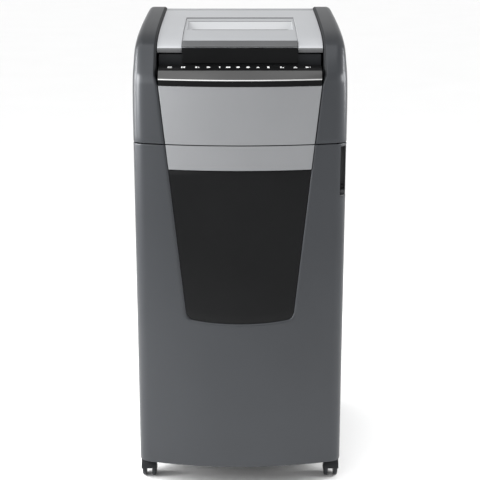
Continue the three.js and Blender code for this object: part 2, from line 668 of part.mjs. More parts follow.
function buildLid() {
  place("lid_shell", lidShell(), pale);
  place("manual_feed_insert", manualFeedInsert(), pale);

  const { low, high, thickness, lip } = HANDLE;
  const frontY = LID_FRONT_Y - thickness;
  const handle = union(
    box(-INSERT_HALF, INSERT_HALF, frontY, LID_FRONT_Y, low, high),
    box(-INSERT_HALF, INSERT_HALF, frontY, LID_FRONT_Y + lip, low, low + thickness),
  );
  place("lid_handle", handle, glossBlack);

  const ductHalf = SLOT_HALF + PANEL_SKIN + 0.6;
  const stemHalf = PRESS.stem + 1;
  const inner = box(-169, 169, -194, 150, LID_EDGE_Z - 2, LID_EDGE_Z + 0.6)
    .subtract(box(-ductHalf, ductHalf, SLOT.y0 - SKIN, SLOT.y1 + SKIN, 0, FAR))
    .subtract(box(-stemHalf, stemHalf, PRESS.stemY - stemHalf, PRESS.stemY + stemHalf, 0, FAR));
  place("lid_inner_panel", inner, mattBlack);

  // A sprung plate on a guide stem presses the stack onto the feed rollers.
  const plate = box(-PRESS.half, PRESS.half, PRESS.y0, PRESS.y1, PRESS.z0, PRESS.z1);
  const stem = rod(PRESS.stem, PRESS.z1, PRESS.stemTop, "z", 0, PRESS.stemY);
  place("press_plate", union(plate, stem), mattBlack);
}

// ---------- gears ----------

const PRESSURE_ANGLE = (20 * Math.PI) / 180;
const ADDENDUM = 0.85; // in modules
const DEDENDUM = 1.2;
const BACKLASH = 0.11; // in modules, taken off each tooth

// One involute gear's outline, turned by phase radians: teeth with a little backlash.
function gearOutline(module, teeth, phase) {
  const pitch = (module * teeth) / 2;
  const base = pitch * Math.cos(PRESSURE_ANGLE);
  const root = pitch - DEDENDUM * module;
  const tip = pitch + ADDENDUM * module;
  const involute = (r) => {
    const a = Math.acos(Math.min(1, base / r));
    return Math.tan(a) - a;
  };
  const halfAtPitch = Math.PI / (2 * teeth) - BACKLASH * (module / pitch);
  const halfAngle = (r) => halfAtPitch + involute(pitch) - involute(Math.max(r, base));
  const flank = [root, pitch, tip];
  const points = [];
  for (let t = 0; t < teeth; t++) {
    const middle = phase + (2 * Math.PI * t) / teeth;
    for (const r of flank) points.push([r, middle - halfAngle(r)]);
    for (const r of [...flank].reverse()) points.push([r, middle + halfAngle(r)]);
  }
  return points.map(([r, a]) => [r * Math.cos(a), r * Math.sin(a)]);
}

// A gear in its own frame, turning about x, with a bore.
function gear(module, teeth, phase, bore, face = GEAR_FACE) {
  return prism(gearOutline(module, teeth, phase), -face / 2, face / 2, "x").subtract(
    rod(bore, -face, face, "x", 0, 0, 16),
  );
}

// A group for pieces that turn together about the x axis through (y, z).
const axleGroup = (y, z) => groupAt(0, y, z);

const pitchRadius = (teeth) => (GEAR_MODULE * teeth) / 2;

// ---------- cutting unit ----------
const DRIVE_Y = CUTTER_REAR_Y + pitchRadius(CUTTER_TEETH) + pitchRadius(DRIVE_TEETH);
const PINION_Y = DRIVE_Y + pitchRadius(DRIVE_TEETH) + pitchRadius(PINION_TEETH);
const FEED_END_X = PULLEY.x0 - 0.5;

const pulley = () => rod(PULLEY.radius, PULLEY.x0, PULLEY.x1, "x");

// A shaft with evenly spaced notched cutter discs, shifted along by offset.
function cutter(offset, startX) {
  const barrelEnd = PLATE_X - PLATE_THICKNESS / 2 - 1;
  let shape = union(
    rod(SHAFT_RADIUS, -barrelEnd, barrelEnd, "x", 0, 0, 12),
    rod(JOURNAL_RADIUS, startX, GEAR_X + 8, "x", 0, 0, 12),
  );
  const outline = [];
  for (let t = 0; t < DISC_TEETH; t++) {
    const tip = (2 * Math.PI * t) / DISC_TEETH;
    const notch = tip + (2 * Math.PI * 0.72) / DISC_TEETH;
    const low = DISC_RADIUS - DISC_NOTCH;
    outline.push([DISC_RADIUS * Math.cos(tip), DISC_RADIUS * Math.sin(tip)]);
    outline.push([low * Math.cos(notch), low * Math.sin(notch)]);
  }
  for (let i = 0; i < DISCS; i++) {
    const x = (i - (DISCS - 1) / 2) * DISC_PITCH + offset;
    shape = shape.add(prism(outline, x - DISC_THICKNESS / 2, x + DISC_THICKNESS / 2, "x"));
  }
  return shape;
}

function feedRoller(startX) {
  const rollers = ROLLER_XS.map((x) =>
    rod(ROLLER_RADIUS, x - ROLLER_LENGTH / 2, x + ROLLER_LENGTH / 2, "x", 0, 0, 18),
  );
  return union(rod(ROLLER_AXLE, startX, PLATE_X + 5, "x", 0, 0, 14), ...rollers);
}

// The belt's path round two equal pulleys, filled in out to a margin.
function beltPath(margin, low, high) {
  const radius = PULLEY.radius + margin;
  const tilt = Math.atan2(ROLLER_Z - CUTTER_Z, ROLLER_FRONT_Y - CUTTER_FRONT_Y);
  const quarter = Math.PI / 2;
  const shape = new THREE.Shape();
  shape.absarc(ROLLER_FRONT_Y, ROLLER_Z, radius, tilt - quarter, tilt + quarter);
  shape.absarc(CUTTER_FRONT_Y, CUTTER_Z, radius, tilt + quarter, tilt + 3 * quarter);
  return prism(shape, low, high, "x");
}

// A bearing plate at x. The right one reaches back to carry the drive gear and the motor.
function sidePlate(x, right) {
  const rear = right ? PLATE.rightRear : PLATE.leftRear;
  const step = right ? PLATE.stepY : rear;
  const outline = [
    [PLATE.y0, PLATE.z0],
    [rear, PLATE.z0],
    [rear, PLATE.low],
    [step, PLATE.low],
    [step, PLATE.high],
    [PLATE.y0, PLATE.high],
  ];
  const holes = [
    [JOURNAL_RADIUS, CUTTER_FRONT_Y, CUTTER_Z],
    [JOURNAL_RADIUS, CUTTER_REAR_Y, CUTTER_Z],
    [ROLLER_AXLE, ROLLER_FRONT_Y, ROLLER_Z],
    [ROLLER_AXLE, ROLLER_REAR_Y, ROLLER_Z],
  ];
  if (right) holes.push([DRIVE_STUB, DRIVE_Y, CUTTER_Z], [MOTOR_STUB, PINION_Y, CUTTER_Z]);
  let plate = prism(outline, x - PLATE_THICKNESS / 2, x + PLATE_THICKNESS / 2, "x");
  for (const [radius, y, z] of holes)
    plate = plate.subtract(rod(radius + GAP, x - PLATE_THICKNESS, x + PLATE_THICKNESS, "x", y, z, 18));
  return plate;
}

// The motor's body as a turned shape with a hollow nose for its shaft.
function motorBody() {
  const { radius, x0, x1, chamfer, nose, noseEnd, boreStart } = MOTOR;
  const bore = MOTOR_STUB + 0.6;
  return turned([
    [0, x0],
    [radius - chamfer, x0],
    [radius, x0 + chamfer / 2],
    [radius, x1 - chamfer],
    [radius - chamfer, x1],
    [nose, x1],
    [nose, noseEnd],
    [bore, noseEnd],
    [bore, boreStart],
    [0, boreStart],
  ]);
}

// A toothed wheel on a stub shaft, which reaches inward to its bearing.
function stubGear(teeth, phase, stub, inward) {
  const wheel = prism(gearOutline(GEAR_MODULE, teeth, phase), -GEAR_FACE / 2, GEAR_FACE / 2, "x");
  return wheel.add(rod(stub, -GEAR_FACE / 2 - inward, GEAR_FACE / 2 + 4, "x"));
}

function buildCutters() {
  const halfTooth = (teeth) => Math.PI / teeth;
  const front = axleGroup(CUTTER_FRONT_Y, CUTTER_Z);
  const rear = axleGroup(CUTTER_REAR_Y, CUTTER_Z);
  place("cutter_shaft_front", cutter(-DISC_PITCH / 4, FEED_END_X).add(pulley()), hardened, front);
  place("cutter_shaft_rear", cutter(DISC_PITCH / 4, -PLATE_X - PLATE_THICKNESS), hardened, rear);

  const bore = JOURNAL_RADIUS + GAP;
  for (const [name, phase, group] of [
    ["cutter_gear_front", 0, front],
    ["cutter_gear_rear", halfTooth(CUTTER_TEETH), rear],
  ])
    place(name, gear(GEAR_MODULE, CUTTER_TEETH, phase, bore), steel, group).position.x = GEAR_X;

  const drive = axleGroup(DRIVE_Y, CUTTER_Z);
  place("drive_gear", stubGear(DRIVE_TEETH, 0, DRIVE_STUB, 9), nylon, drive).position.x = GEAR_X;
  const motorAxis = axleGroup(PINION_Y, CUTTER_Z);
  const pinion = stubGear(PINION_TEETH, halfTooth(PINION_TEETH), MOTOR_STUB, 22);
  place("motor_pinion", pinion, steel, motorAxis).position.x = GEAR_X;
  place("motor", motorBody(), steel, motorAxis);

  place("cutter_plate_right", sidePlate(PLATE_X, true), steel);
  place("cutter_plate_left", sidePlate(-PLATE_X, false), steel);

  const rollerFront = axleGroup(ROLLER_FRONT_Y, ROLLER_Z);
  const rollerRear = axleGroup(ROLLER_REAR_Y, ROLLER_Z);
  place("feed_roller_front", feedRoller(FEED_END_X).add(pulley()), rubber, rollerFront);
  place("feed_roller_rear", feedRoller(ROLLER_GEAR_X - ROLLER_FACE), rubber, rollerRear);
  for (const [name, phase, group] of [
    ["feed_gear_front", 0, rollerFront],
    ["feed_gear_rear", halfTooth(ROLLER_TEETH), rollerRear],
  ]) {
    const wheel = gear(ROLLER_MODULE, ROLLER_TEETH, phase, ROLLER_AXLE + GAP, ROLLER_FACE);
    place(name, wheel, nylon, group).position.x = ROLLER_GEAR_X;
  }
  const inside = beltPath(GAP, BELT.x0 - 1, BELT.x1 + 1);
  place("feed_belt", beltPath(GAP + BELT.thickness, BELT.x0, BELT.x1).subtract(inside), rubber);
}

// ---------- electrics at the rear ----------

function buildElectrics() {
  const { x0, x1, y0, y1, z0, z1 } = BOARD;
  place("circuit_board", box(x0, x1, y0, y1, z0, z1), board);

  // The inlet is a flange with a box behind it and a socket in the middle.
  const { half, halfHeight, depth } = INLET;
  const inset = PANEL_SKIN;
  const inlet = union(
    box(-half, half, -SKIN, -0.2, -halfHeight, halfHeight),
    box(-half + inset, half - inset, -depth, -inset, -halfHeight + inset, halfHeight - inset),
  ).subtract(box(-half + 6.6, half - 6.6, -depth + 6, 1, -halfHeight + 6.6, halfHeight - 6.6));
  place("power_inlet", inlet, mattBlack, groupAt(INLET.x, DEPTH / 2, INLET.z));

  // A rocker that tips about a level axis through its own middle.
  const high = SWITCH.halfHeight;
  const face = [
    [-5, -high],
    [5.4, -high],
    [4.2, 0],
    [6.6, high],
    [-5, high],
  ];
  const rocker = prism(face, -SWITCH.half, SWITCH.half, "x");
  place("power_switch", rocker, glossBlack, groupAt(SWITCH.x, SWITCH.y, SWITCH.z));

  const fan = groupAt(FAN.x, FAN.y, FAN.z);
  place("fan_frame", fanFrame(), mattBlack, fan);
  place("fan_rotor", fanRotor(), mattBlack, fan);
}

// A square frame with a round duct and a cross that carries the rotor's bearing.
function fanFrame() {
  const { half, bore, hub } = FAN;
  const depth = 9;
  const strut = 2;
  const frame = box(-half, half, -depth, depth, -half, half).subtract(
    rod(bore, -depth - 1, depth + 1, "y", 0, 0, 28),
  );
  return union(
    frame,
    rod(hub, 5.5, depth, "y"),
    box(-bore - 1, bore + 1, 6, depth, -strut, strut),
    box(-strut, strut, 6, depth, -bore - 1, bore + 1),
  );
}

function fanRotor() {
  const { hub, tip, blades, pitch } = FAN;
  const front = 4.6;
  let rotor = rod(hub, -7, front, "y");
  for (let i = 0; i < blades; i++) {
    const blade = box(hub / 2, tip, -1, 1, -7, 7)
      .rotate([pitch, 0, 0])
      .rotate([0, (360 / blades) * i, 0])
      .translate([0, -1.4, 0]);
    rotor = rotor.add(blade);
  }
  return rotor.intersect(rod(tip, -8, front, "y", 0, 0, 28));
}

// ---------- casters ----------

// The swivelling part: a web between the wheels, a block and fender over them, and the stem.
function casterHood() {
  const { inner, outer, half } = FENDER;
  const acrossWheels = (radius, reach, steps = 20) =>
    rod(radius, -reach, reach, "x", WHEEL_TRAIL, WHEEL_RADIUS, steps);
  const wheelRoom = acrossWheels(inner, half + 1);
  const webHalf = WHEEL_INNER - 0.6;
  const web = union(
    acrossWheels(WHEEL_RADIUS - 2, webHalf),
    box(-webHalf, webHalf, -8, WHEEL_TRAIL, 26, 46),
    acrossWheels(AXLE_RADIUS, half - 1, 12),
  ).subtract(box(-webHalf - 0.1, webHalf + 0.1, -FAR, FAR, 0, WEB_BOTTOM));
  const fender = acrossWheels(outer, half).intersect(box(-half, half, -FAR, FAR, 26, FAR));
  const block = box(-half, half, -12, 26, 38, 55);
  const stem = rod(STEM.radius, STEM.z0, STEM.z1, "z", 0, 0, 12);
  return union(fender, block).subtract(wheelRoom).add(web).add(stem);
}

// A wheel with a flat inner face and a domed outer face, turning about x at its own origin. It
// stands on one of its flats, so its corners lie a little outside the wheel's radius.
function casterWheel() {
  const corner = WHEEL_RADIUS / Math.cos(Math.PI / WHEEL_SIDES);
  const bore = AXLE_RADIUS + 0.3;
  const inner = WHEEL_INNER;
  const profile = [
    [bore, inner],
    [corner, inner],
    [corner, inner + 6],
    [corner - 3, inner + 9.2],
    [bore, inner + 10.7],
    [bore, inner],
  ];
  return turned(profile, WHEEL_SIDES).rotate([180 / WHEEL_SIDES, 0, 0]);
}

function buildCasters() {
  const hood = casterHood();
  const wheel = casterWheel();
  for (const [where, x, y] of CASTER_PLACES) {
    const caster = groupAt(x, y, 0);
    if (y < 0) caster.rotation.z = Math.PI; // the front wheels lead their stems
    place(`caster_${where}_hood`, hood, mattBlack, caster);
    for (const [side, turn] of [
      ["a", 0],
      ["b", Math.PI],
    ]) {
      const mesh = place(`caster_${where}_wheel_${side}`, wheel, rubber, caster);
      mesh.position.set(0, WHEEL_TRAIL, WHEEL_RADIUS);
      mesh.rotation.z = turn;
    }
  }
}

buildCabinet();
buildDoor();
buildHinges();
buildDoorCatch();
buildHead();
buildLid();
buildCutters();
buildElectrics();
buildCasters();

export default shredder;
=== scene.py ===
"""Looks for a floor-standing paper shredder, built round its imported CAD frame.

Lengths are written in millimetres, in the CAD's frame (+Z up, the front faces -Y), and become
metres as each mesh is made.
"""

import math

import bmesh
import bpy
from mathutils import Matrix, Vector


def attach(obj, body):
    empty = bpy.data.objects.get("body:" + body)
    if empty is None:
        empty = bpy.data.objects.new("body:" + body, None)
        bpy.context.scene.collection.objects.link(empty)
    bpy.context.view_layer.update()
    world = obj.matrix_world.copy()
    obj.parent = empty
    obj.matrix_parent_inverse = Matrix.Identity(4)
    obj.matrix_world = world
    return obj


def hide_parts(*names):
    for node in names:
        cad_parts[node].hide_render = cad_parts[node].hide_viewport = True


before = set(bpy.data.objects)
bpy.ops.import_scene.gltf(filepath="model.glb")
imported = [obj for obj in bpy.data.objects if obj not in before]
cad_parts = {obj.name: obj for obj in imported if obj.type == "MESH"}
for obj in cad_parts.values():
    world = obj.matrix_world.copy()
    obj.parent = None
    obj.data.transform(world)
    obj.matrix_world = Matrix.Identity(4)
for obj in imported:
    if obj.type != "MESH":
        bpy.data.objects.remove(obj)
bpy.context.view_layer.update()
MM = 0.001

# ---------- the body's outlines ----------
WIDTH, DEPTH, BULGE = 460, 560, 36
CORNER_X, SIDE_Y = 206, -222
FRONT_RADIUS = ((WIDTH / 2) ** 2 + BULGE**2) / (2 * BULGE)
FRONT_CENTRE_Y = -DEPTH / 2 + FRONT_RADIUS
BODY_BOTTOM, DOOR_TOP, HEAD_BOTTOM = 61, 800, 804
DOOR_BACK = -205
CREASE_Z = 942
BROW = (-212, 991)
TOP_LINE = [
    BROW,
    (-193, 1008),
    (-147, 1023),
    (-61, 1035),
    (59, 1046.5),
    (165, 1054.5),
    (215, 1055.5),
    (256, 1046),
    (280, 1007),
]
ARM_INNER = 178.5
SHOULDER_LOW, SHOULDER_BEND, CREST_Z = 880, 985, 1056.5  # the head's sides lean in above the first
LID_DROP = 4
LID_HINGE = (172, 1043)
WINDOW_TOP = 745.5
PANEL_BOTTOM = 926.5
FOOT_Z, FOOT_HALF, FOOT_BOTTOM, FOOT_SAG = 430, 119, 410.6, 403  # the tapered insert's foot
TAPER = 0.11
EDGE_ROWS = [(0.0, 1.6), (0.35, 0.75), (0.9, 0.2), (1.8, 0.0)]  # (distance from the edge, inset)
CHAMFER = 4.6  # width of the bevel round the insert's opening


def lerp(a, b, f):
    return a + (b - a) * f


def mix(p, q, f):
    return tuple(lerp(a, b, f) for a, b in zip(p, q))


def front_y(x, inset=0.0):
    """Where the bulged front lies at x, moved in by inset."""
    return FRONT_CENTRE_Y - math.sqrt((FRONT_RADIUS - inset) ** 2 - x * x)


def bend(p, q, r, t):
    """A point on the quadratic curve from p to r that leans towards q."""
    return tuple((1 - t) ** 2 * a + 2 * (1 - t) * t * b + t * t * c for a, b, c in zip(p, q, r))


def corner(t):
    """The front's right corner in plan, from the bulge (0) to the flat side (1)."""
    half = WIDTH / 2
    return bend((CORNER_X, front_y(CORNER_X)), (half, front_y(half)), (half, SIDE_Y), t)


def shoulder(z):
    """Half the body's width at height z: the head's sides lean in towards the crest."""
    half = WIDTH / 2
    if z <= SHOULDER_LOW:
        return half
    run = 2 * (SHOULDER_BEND - SHOULDER_LOW)
    fall = 2 * SHOULDER_BEND - SHOULDER_LOW - CREST_Z
    t = (run - math.sqrt(run**2 - 4 * fall * (min(z, CREST_Z) - SHOULDER_LOW))) / (2 * fall)
    return bend((half,), (half - 1,), (half - 10,), t)[0]


def insert_half(z):
    """Half the width of the tapered insert at height z."""
    return FOOT_HALF + TAPER * (z - FOOT_Z)


def spline(points, steps):
    """A uniform Catmull-Rom curve through the points."""
    out = []
    for i in range(len(points) - 1):
        p = [points[max(0, i - 1)], points[i], points[i + 1], points[min(len(points) - 1, i + 2)]]
        for k in range(steps):
            t = k / steps
            out.append(
                tuple(
                    0.5
                    * (
                        2 * b
                        + (c - a) * t
                        + (2 * a - 5 * b + 4 * c - d) * t * t
                        + (3 * b - a - 3 * c + d) * t**3
                    )
                    for a, b, c, d in zip(*p)
                )
            )
    return out + [points[-1]]


def foot_curve(grow=0.0, steps=14):
    """The insert's rounded foot as (x, z) points from the middle out to the right, then up to
    FOOT_Z, grown outward by a margin."""
    turn, side = (102.5, FOOT_BOTTOM), (FOOT_HALF, FOOT_Z)
    right = [bend((0, FOOT_SAG), (60, FOOT_SAG), turn, k / steps) for k in range(steps)]
    right += [bend(turn, (117, FOOT_BOTTOM + 1), side, k / steps) for k in range(steps + 1)]
    out = []
    for i, (x, z) in enumerate(right):
        x0, z0 = right[max(0, i - 1)]
        x1, z1 = right[min(len(right) - 1, i + 1)]
        length = math.hypot(x1 - x0, z1 - z0)
        nx, nz = (z1 - z0) / length, -(x1 - x0) / length
        out.append((0.0 if i == 0 else x + nx * grow, z + nz * grow))
    return out


# ---------- mesh helpers ----------


class Skin:
    """Faces gathered from grids and polygons, and welded where they meet."""

    def __init__(self):
        self.verts, self.faces = [], []

    def grid(self, rows, flip=False):
        start, width = len(self.verts), len(rows[0])
        for row in rows:
            self.verts += row
        for r in range(len(rows) - 1):
            for c in range(width - 1):
                a = start + r * width + c
                quad = (a, a + 1, a + 1 + width, a + width)
                self.faces.append(quad[::-1] if flip else quad)
        return self

    def polygon(self, loop, flip=False):
        start = len(self.verts)
        self.verts += loop
        face = tuple(range(start, start + len(loop)))
        self.faces.append(face[::-1] if flip else face)
        return self

    def mirror(self):
        """Adds the same faces on the other side of x = 0."""
        count = len(self.verts)
        self.verts += [(-x, y, z) for x, y, z in self.verts]
        self.faces += [tuple(count + i for i in reversed(f)) for f in list(self.faces)]
        return self

    def build(self, weld=0.02):
        mesh = bpy.data.meshes.new("piece")
        mesh.from_pydata([tuple(v * MM for v in p) for p in self.verts], [], self.faces)
        bm = bmesh.new()
        bm.from_mesh(mesh)
        bmesh.ops.remove_doubles(bm, verts=bm.verts, dist=weld * MM)
        bmesh.ops.dissolve_degenerate(bm, edges=bm.edges, dist=1e-7)
        bm.to_mesh(mesh)
        bm.free()
        return linked(mesh)


def linked(mesh):
    obj = bpy.data.objects.new("piece", mesh)
    bpy.context.scene.collection.objects.link(obj)
    return obj


def apply_modifiers(obj):
    graph = bpy.context.evaluated_depsgraph_get()
    graph.update()
    mesh = bpy.data.meshes.new_from_object(obj.evaluated_get(graph))
    obj.modifiers.clear()
    obj.data = mesh
    return obj


def prism(outline, low, high, axis="z"):
    """A closed block: an outline in the two other coordinates, in x, y, z order, swept along axis."""
    area = sum(a[0] * b[1] - b[0] * a[1] for a, b in zip(outline, outline[1:] + outline[:1]))
    if (area < 0) != (axis == "y"):
        outline = outline[::-1]
    place = {
        "x": lambda u, v, w: (w, u, v),
        "y": lambda u, v, w: (u, w, v),
        "z": lambda u, v, w: (u, v, w),
    }[axis]
    n = len(outline)
    verts = [place(u, v, low) for u, v in outline] + [place(u, v, high) for u, v in outline]
    faces = [tuple(reversed(range(n))), tuple(range(n, 2 * n))]
    faces += [(i, (i + 1) % n, (i + 1) % n + n, i + n) for i in range(n)]
    skin = Skin()
    skin.verts, skin.faces = verts, faces
    return skin.build(weld=0.001)


def block(x0, x1, y0, y1, z0, z1):
    return prism([(x0, y0), (x1, y0), (x1, y1), (x0, y1)], z0, z1)


def lathe(profile, axis="x", centre=(0, 0, 0), steps=64):
    """A profile of (radius, distance along the axis) points turned round an axis."""
    skin = Skin()
    rows = []
    for i in range(steps + 1):
        a = 2 * math.pi * (i % steps) / steps
        row = []
        for r, d in profile:
            u, v = r * math.cos(a), r * math.sin(a)
            p = {"x": (d, u, v), "y": (v, d, u), "z": (u, v, d)}[axis]
            row.append(tuple(c + q for c, q in zip(centre, p)))
        rows.append(row)
    obj = skin.grid(rows).build()
    bm = bmesh.new()
    bm.from_mesh(obj.data)
    bmesh.ops.recalc_face_normals(bm, faces=bm.faces)
    bm.to_mesh(obj.data)
    bm.free()
    return obj


def rod(radius, low, high, axis, centre=(0, 0, 0), chamfer=0.4, steps=48):
    c = min(chamfer, radius / 3)
    profile = [(0, low), (radius - c, low), (radius, low + c)]
    profile += [(radius, high - c), (radius - c, high), (0, high)]
    return lathe(profile, axis, centre, steps)


def combine(target, tool, operation="DIFFERENCE"):
    cut = target.modifiers.new("cut", "BOOLEAN")
    cut.operation, cut.object, cut.solver = operation, tool, "EXACT"
    apply_modifiers(target)
    bpy.data.objects.remove(tool)
    return target


def join(target, *others):
    """Puts several closed pieces into one mesh."""
    bm = bmesh.new()
    for obj in (target, *others):
        bm.from_mesh(obj.data)
    bm.to_mesh(target.data)
    bm.free()
    for obj in others:
        bpy.data.objects.remove(obj)
    return target


def round_edges(obj, width, segments=3, angle=32):
    bevel = obj.modifiers.new("bevel", "BEVEL")
    bevel.width, bevel.segments = width * MM, segments
    bevel.limit_method, bevel.angle_limit = "ANGLE", math.radians(angle)
    bevel.miter_outer = "MITER_ARC"
    return apply_modifiers(obj)


def thicken(obj, wall):
    solid = obj.modifiers.new("wall", "SOLIDIFY")
    solid.thickness, solid.offset, solid.use_even_offset = wall * MM, -1, True
    return apply_modifiers(obj)


def smooth(obj, angle=40, weighted=False):
    obj.data.shade_smooth()
    obj.data.set_sharp_from_angle(angle=math.radians(angle))
    if weighted:
        normals = obj.modifiers.new("normals", "WEIGHTED_NORMAL")
        normals.keep_sharp, normals.weight = True, 80
        apply_modifiers(obj)
    return obj


def piece(obj, name, body, material, replaces=()):
    """Names a finished mesh, gives it its material and ties it to its CAD body and nodes."""
    obj.name = obj.data.name = name
    obj.data.materials.clear()
    for m in material if isinstance(material, (list, tuple)) else [material]:
        obj.data.materials.append(m)
    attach(obj, body)
    if replaces:
        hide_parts(*([replaces] if isinstance(replaces, str) else replaces))
    return obj


def paint(obj, rule):
    """Gives each face the material that rule picks from its middle, in millimetres, and normal."""
    for face in obj.data.polygons:
        face.material_index = rule(face.center / MM, face.normal)


def refined(node, edge, segments=2, angle=32):
    """A copy of a CAD node with its flat faces merged and its edges rounded."""
    bm = bmesh.new()
    bm.from_mesh(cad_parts[node].data)
    bmesh.ops.remove_doubles(bm, verts=bm.verts, dist=0.02 * MM)
    bmesh.ops.dissolve_limit(bm, angle_limit=math.radians(0.6), verts=bm.verts, edges=bm.edges)
    bmesh.ops.recalc_face_normals(bm, faces=bm.faces)
    mesh = bpy.data.meshes.new(node)
    bm.to_mesh(mesh)
    bm.free()
    obj = linked(mesh)
    return smooth(round_edges(obj, edge, segments, angle), 50, weighted=True)


# ---------- materials ----------


def material(
    name,
    dark,
    light,
    rough,
    spread=0.05,
    metallic=0.0,
    cloud=6.0,
    grain=900.0,
    bump=0.05,
    stretch=(1, 1, 1),
    coat=0.0,
    coat_rough=0.1,
    specular=0.5,
):
    """A procedural finish: a cloudy colour between dark and light, uneven roughness and a grain.

    cloud and grain are in repeats per metre, and stretch draws the grain out along an axis.
    """
    made = bpy.data.materials.new(name)
    made.use_nodes = True
    tree = made.node_tree
    shader = tree.nodes["Principled BSDF"]
    shader.inputs["Metallic"].default_value = metallic
    shader.inputs["Coat Weight"].default_value = coat
    shader.inputs["Coat Roughness"].default_value = coat_rough
    shader.inputs["Specular IOR Level"].default_value = specular

    def node(kind, **values):
        made_node = tree.nodes.new(kind)
        for key, value in values.items():
            made_node.inputs[key].default_value = value
        return made_node

    where = tree.nodes.new("ShaderNodeTexCoord")
    drawn = node("ShaderNodeMapping", Scale=stretch)
    tree.links.new(where.outputs["Object"], drawn.inputs["Vector"])

    clouds = node("ShaderNodeTexNoise", Scale=cloud, Detail=5.0, Roughness=0.55)
    tree.links.new(where.outputs["Object"], clouds.inputs["Vector"])
    fine = node("ShaderNodeTexNoise", Scale=grain, Detail=3.0, Roughness=0.6)
    tree.links.new(drawn.outputs["Vector"], fine.inputs["Vector"])

    ramp = tree.nodes.new("ShaderNodeValToRGB")
    ramp.color_ramp.elements[0].position, ramp.color_ramp.elements[1].position = 0.3, 0.7
    ramp.color_ramp.elements[0].color = (*dark, 1)
    ramp.color_ramp.elements[1].color = (*light, 1)
    both = tree.nodes.new("ShaderNodeMath")
    both.operation = "MULTIPLY_ADD"
    both.inputs[1].default_value = 0.35
    tree.links.new(fine.outputs["Fac"], both.inputs[0])
    halved = tree.nodes.new("ShaderNodeMath")
    halved.operation = "MULTIPLY"
    halved.inputs[1].default_value = 0.65
    tree.links.new(clouds.outputs["Fac"], halved.inputs[0])
    tree.links.new(halved.outputs["Value"], both.inputs[2])
    tree.links.new(both.outputs["Value"], ramp.inputs["Fac"])
    tree.links.new(ramp.outputs["Color"], shader.inputs["Base Color"])

    range_node = tree.nodes.new("ShaderNodeMapRange")
    range_node.inputs["To Min"].default_value = max(0.02, rough - spread)
    range_node.inputs["To Max"].default_value = rough + spread
    tree.links.new(both.outputs["Value"], range_node.inputs["Value"])
    tree.links.new(range_node.outputs["Result"], shader.inputs["Roughness"])

    if bump:
        bumps = node("ShaderNodeBump", Strength=bump, Distance=0.0006)
        tree.links.new(fine.outputs["Fac"], bumps.inputs["Height"])
        tree.links.new(bumps.outputs["Normal"], shader.inputs["Normal"])
    return made


def grey(value, tint=0.0):
    """A linear colour of that brightness; tint moves it towards blue."""
    return (value * (1 - tint), value, value * (1 + 1.6 * tint))


charcoal = material(
    "charcoal_lacquer", grey(0.024, 0.10), grey(0.029, 0.10), 0.40, 0.03, metallic=0.45,
    cloud=5, grain=1400, bump=0.03, coat=0.25, coat_rough=0.2,
)
silver = material(
    "silver_lacquer", grey(0.190, 0.022), grey(0.212, 0.022), 0.42, 0.03, metallic=0.4,
    cloud=4, grain=1600, bump=0.03, coat=0.15, coat_rough=0.2,
)
pale = material(
    "pale_lid_lacquer", grey(0.41, 0.022), grey(0.45, 0.022), 0.42, 0.03, metallic=0.3,
    cloud=4, grain=1600, bump=0.03, coat=0.1, coat_rough=0.2,
)
insert_pale = material(
    "pale_insert_lacquer", grey(0.37, 0.022), grey(0.41, 0.022), 0.45, 0.03, metallic=0.3,
    cloud=4, grain=1600, bump=0.03, coat=0.05, coat_rough=0.2,
)
# Painted light: a lighter copy of the insert's pale for the ramp's up-facing faces, standing in for
# the light the ramp catches.
ramp_painted_light = material(
    "satin_ramp_painted_light", grey(0.46, 0.018), grey(0.50, 0.018), 0.35, 0.03, metallic=0.1,
    cloud=4, grain=1600, bump=0.02, coat=0.1, coat_rough=0.2,
)
gloss_black = material(
    "gloss_black", grey(0.0045, 0.03), grey(0.0065, 0.03), 0.12, 0.02, cloud=8, grain=500,
    bump=0.006, specular=0.06,
)
window_black = material(
    "smoked_window", grey(0.005, 0.03), grey(0.0075, 0.03), 0.16, 0.03, cloud=5, grain=400,
    bump=0.006, specular=0.09,
)
# The control panel's slope: a dark grey finish that also carries a painted reflection of the bright
# studio on the gloss black.
slope_grey_reflection = material(
    "grey_slope_painted_reflection", grey(0.047, 0.0), grey(0.056, 0.0), 0.3, 0.03, cloud=12, grain=1500,
    bump=0.02, specular=0.3,
)
# Painted highlight: a bright silver band on the control panel's crease, partly a trim and partly
# standing in for the highlight the gloss black crease catches.
crease_highlight = material(
    "painted_crease_highlight", grey(0.5, 0.0), grey(0.58, 0.0), 0.3, 0.04, metallic=0.6, cloud=10,
    grain=1500, bump=0.01,
)
# The grey of the name strip, also used as painted shade on front-facing steps of the lid and of the
# feed insert.
grey_strip_and_shade = material(
    "grey_name_strip_and_painted_shade", grey(0.074, 0.02), grey(0.088, 0.02), 0.45, 0.04, cloud=10, grain=1200,
    bump=0.03, specular=0.3,
)
matt_black = material(
    "grained_black_plastic", grey(0.009, 0.08), grey(0.015, 0.08), 0.55, 0.08, cloud=14,
    grain=1100, bump=0.25, specular=0.2,
)
recess_black = material(
    "recess_plastic", grey(0.008, 0.1), grey(0.012, 0.1), 0.45, 0.08, cloud=14, grain=1200,
    bump=0.15, specular=0.2,
)
bin_plastic = material(
    "bin_plastic", grey(0.028, 0.04), grey(0.042, 0.04), 0.5, 0.08, cloud=8, grain=700, bump=0.35
)
steel = material(
    "brushed_steel", grey(0.42, 0.01), grey(0.55, 0.01), 0.32, 0.1, metallic=1.0, cloud=9,
    grain=420, bump=0.08, stretch=(0.06, 1, 1),
)
galvanised = material(
    "galvanised_sheet", grey(0.38, 0.02), grey(0.5, 0.02), 0.38, 0.12, metallic=1.0, cloud=60,
    grain=260, bump=0.05,
)
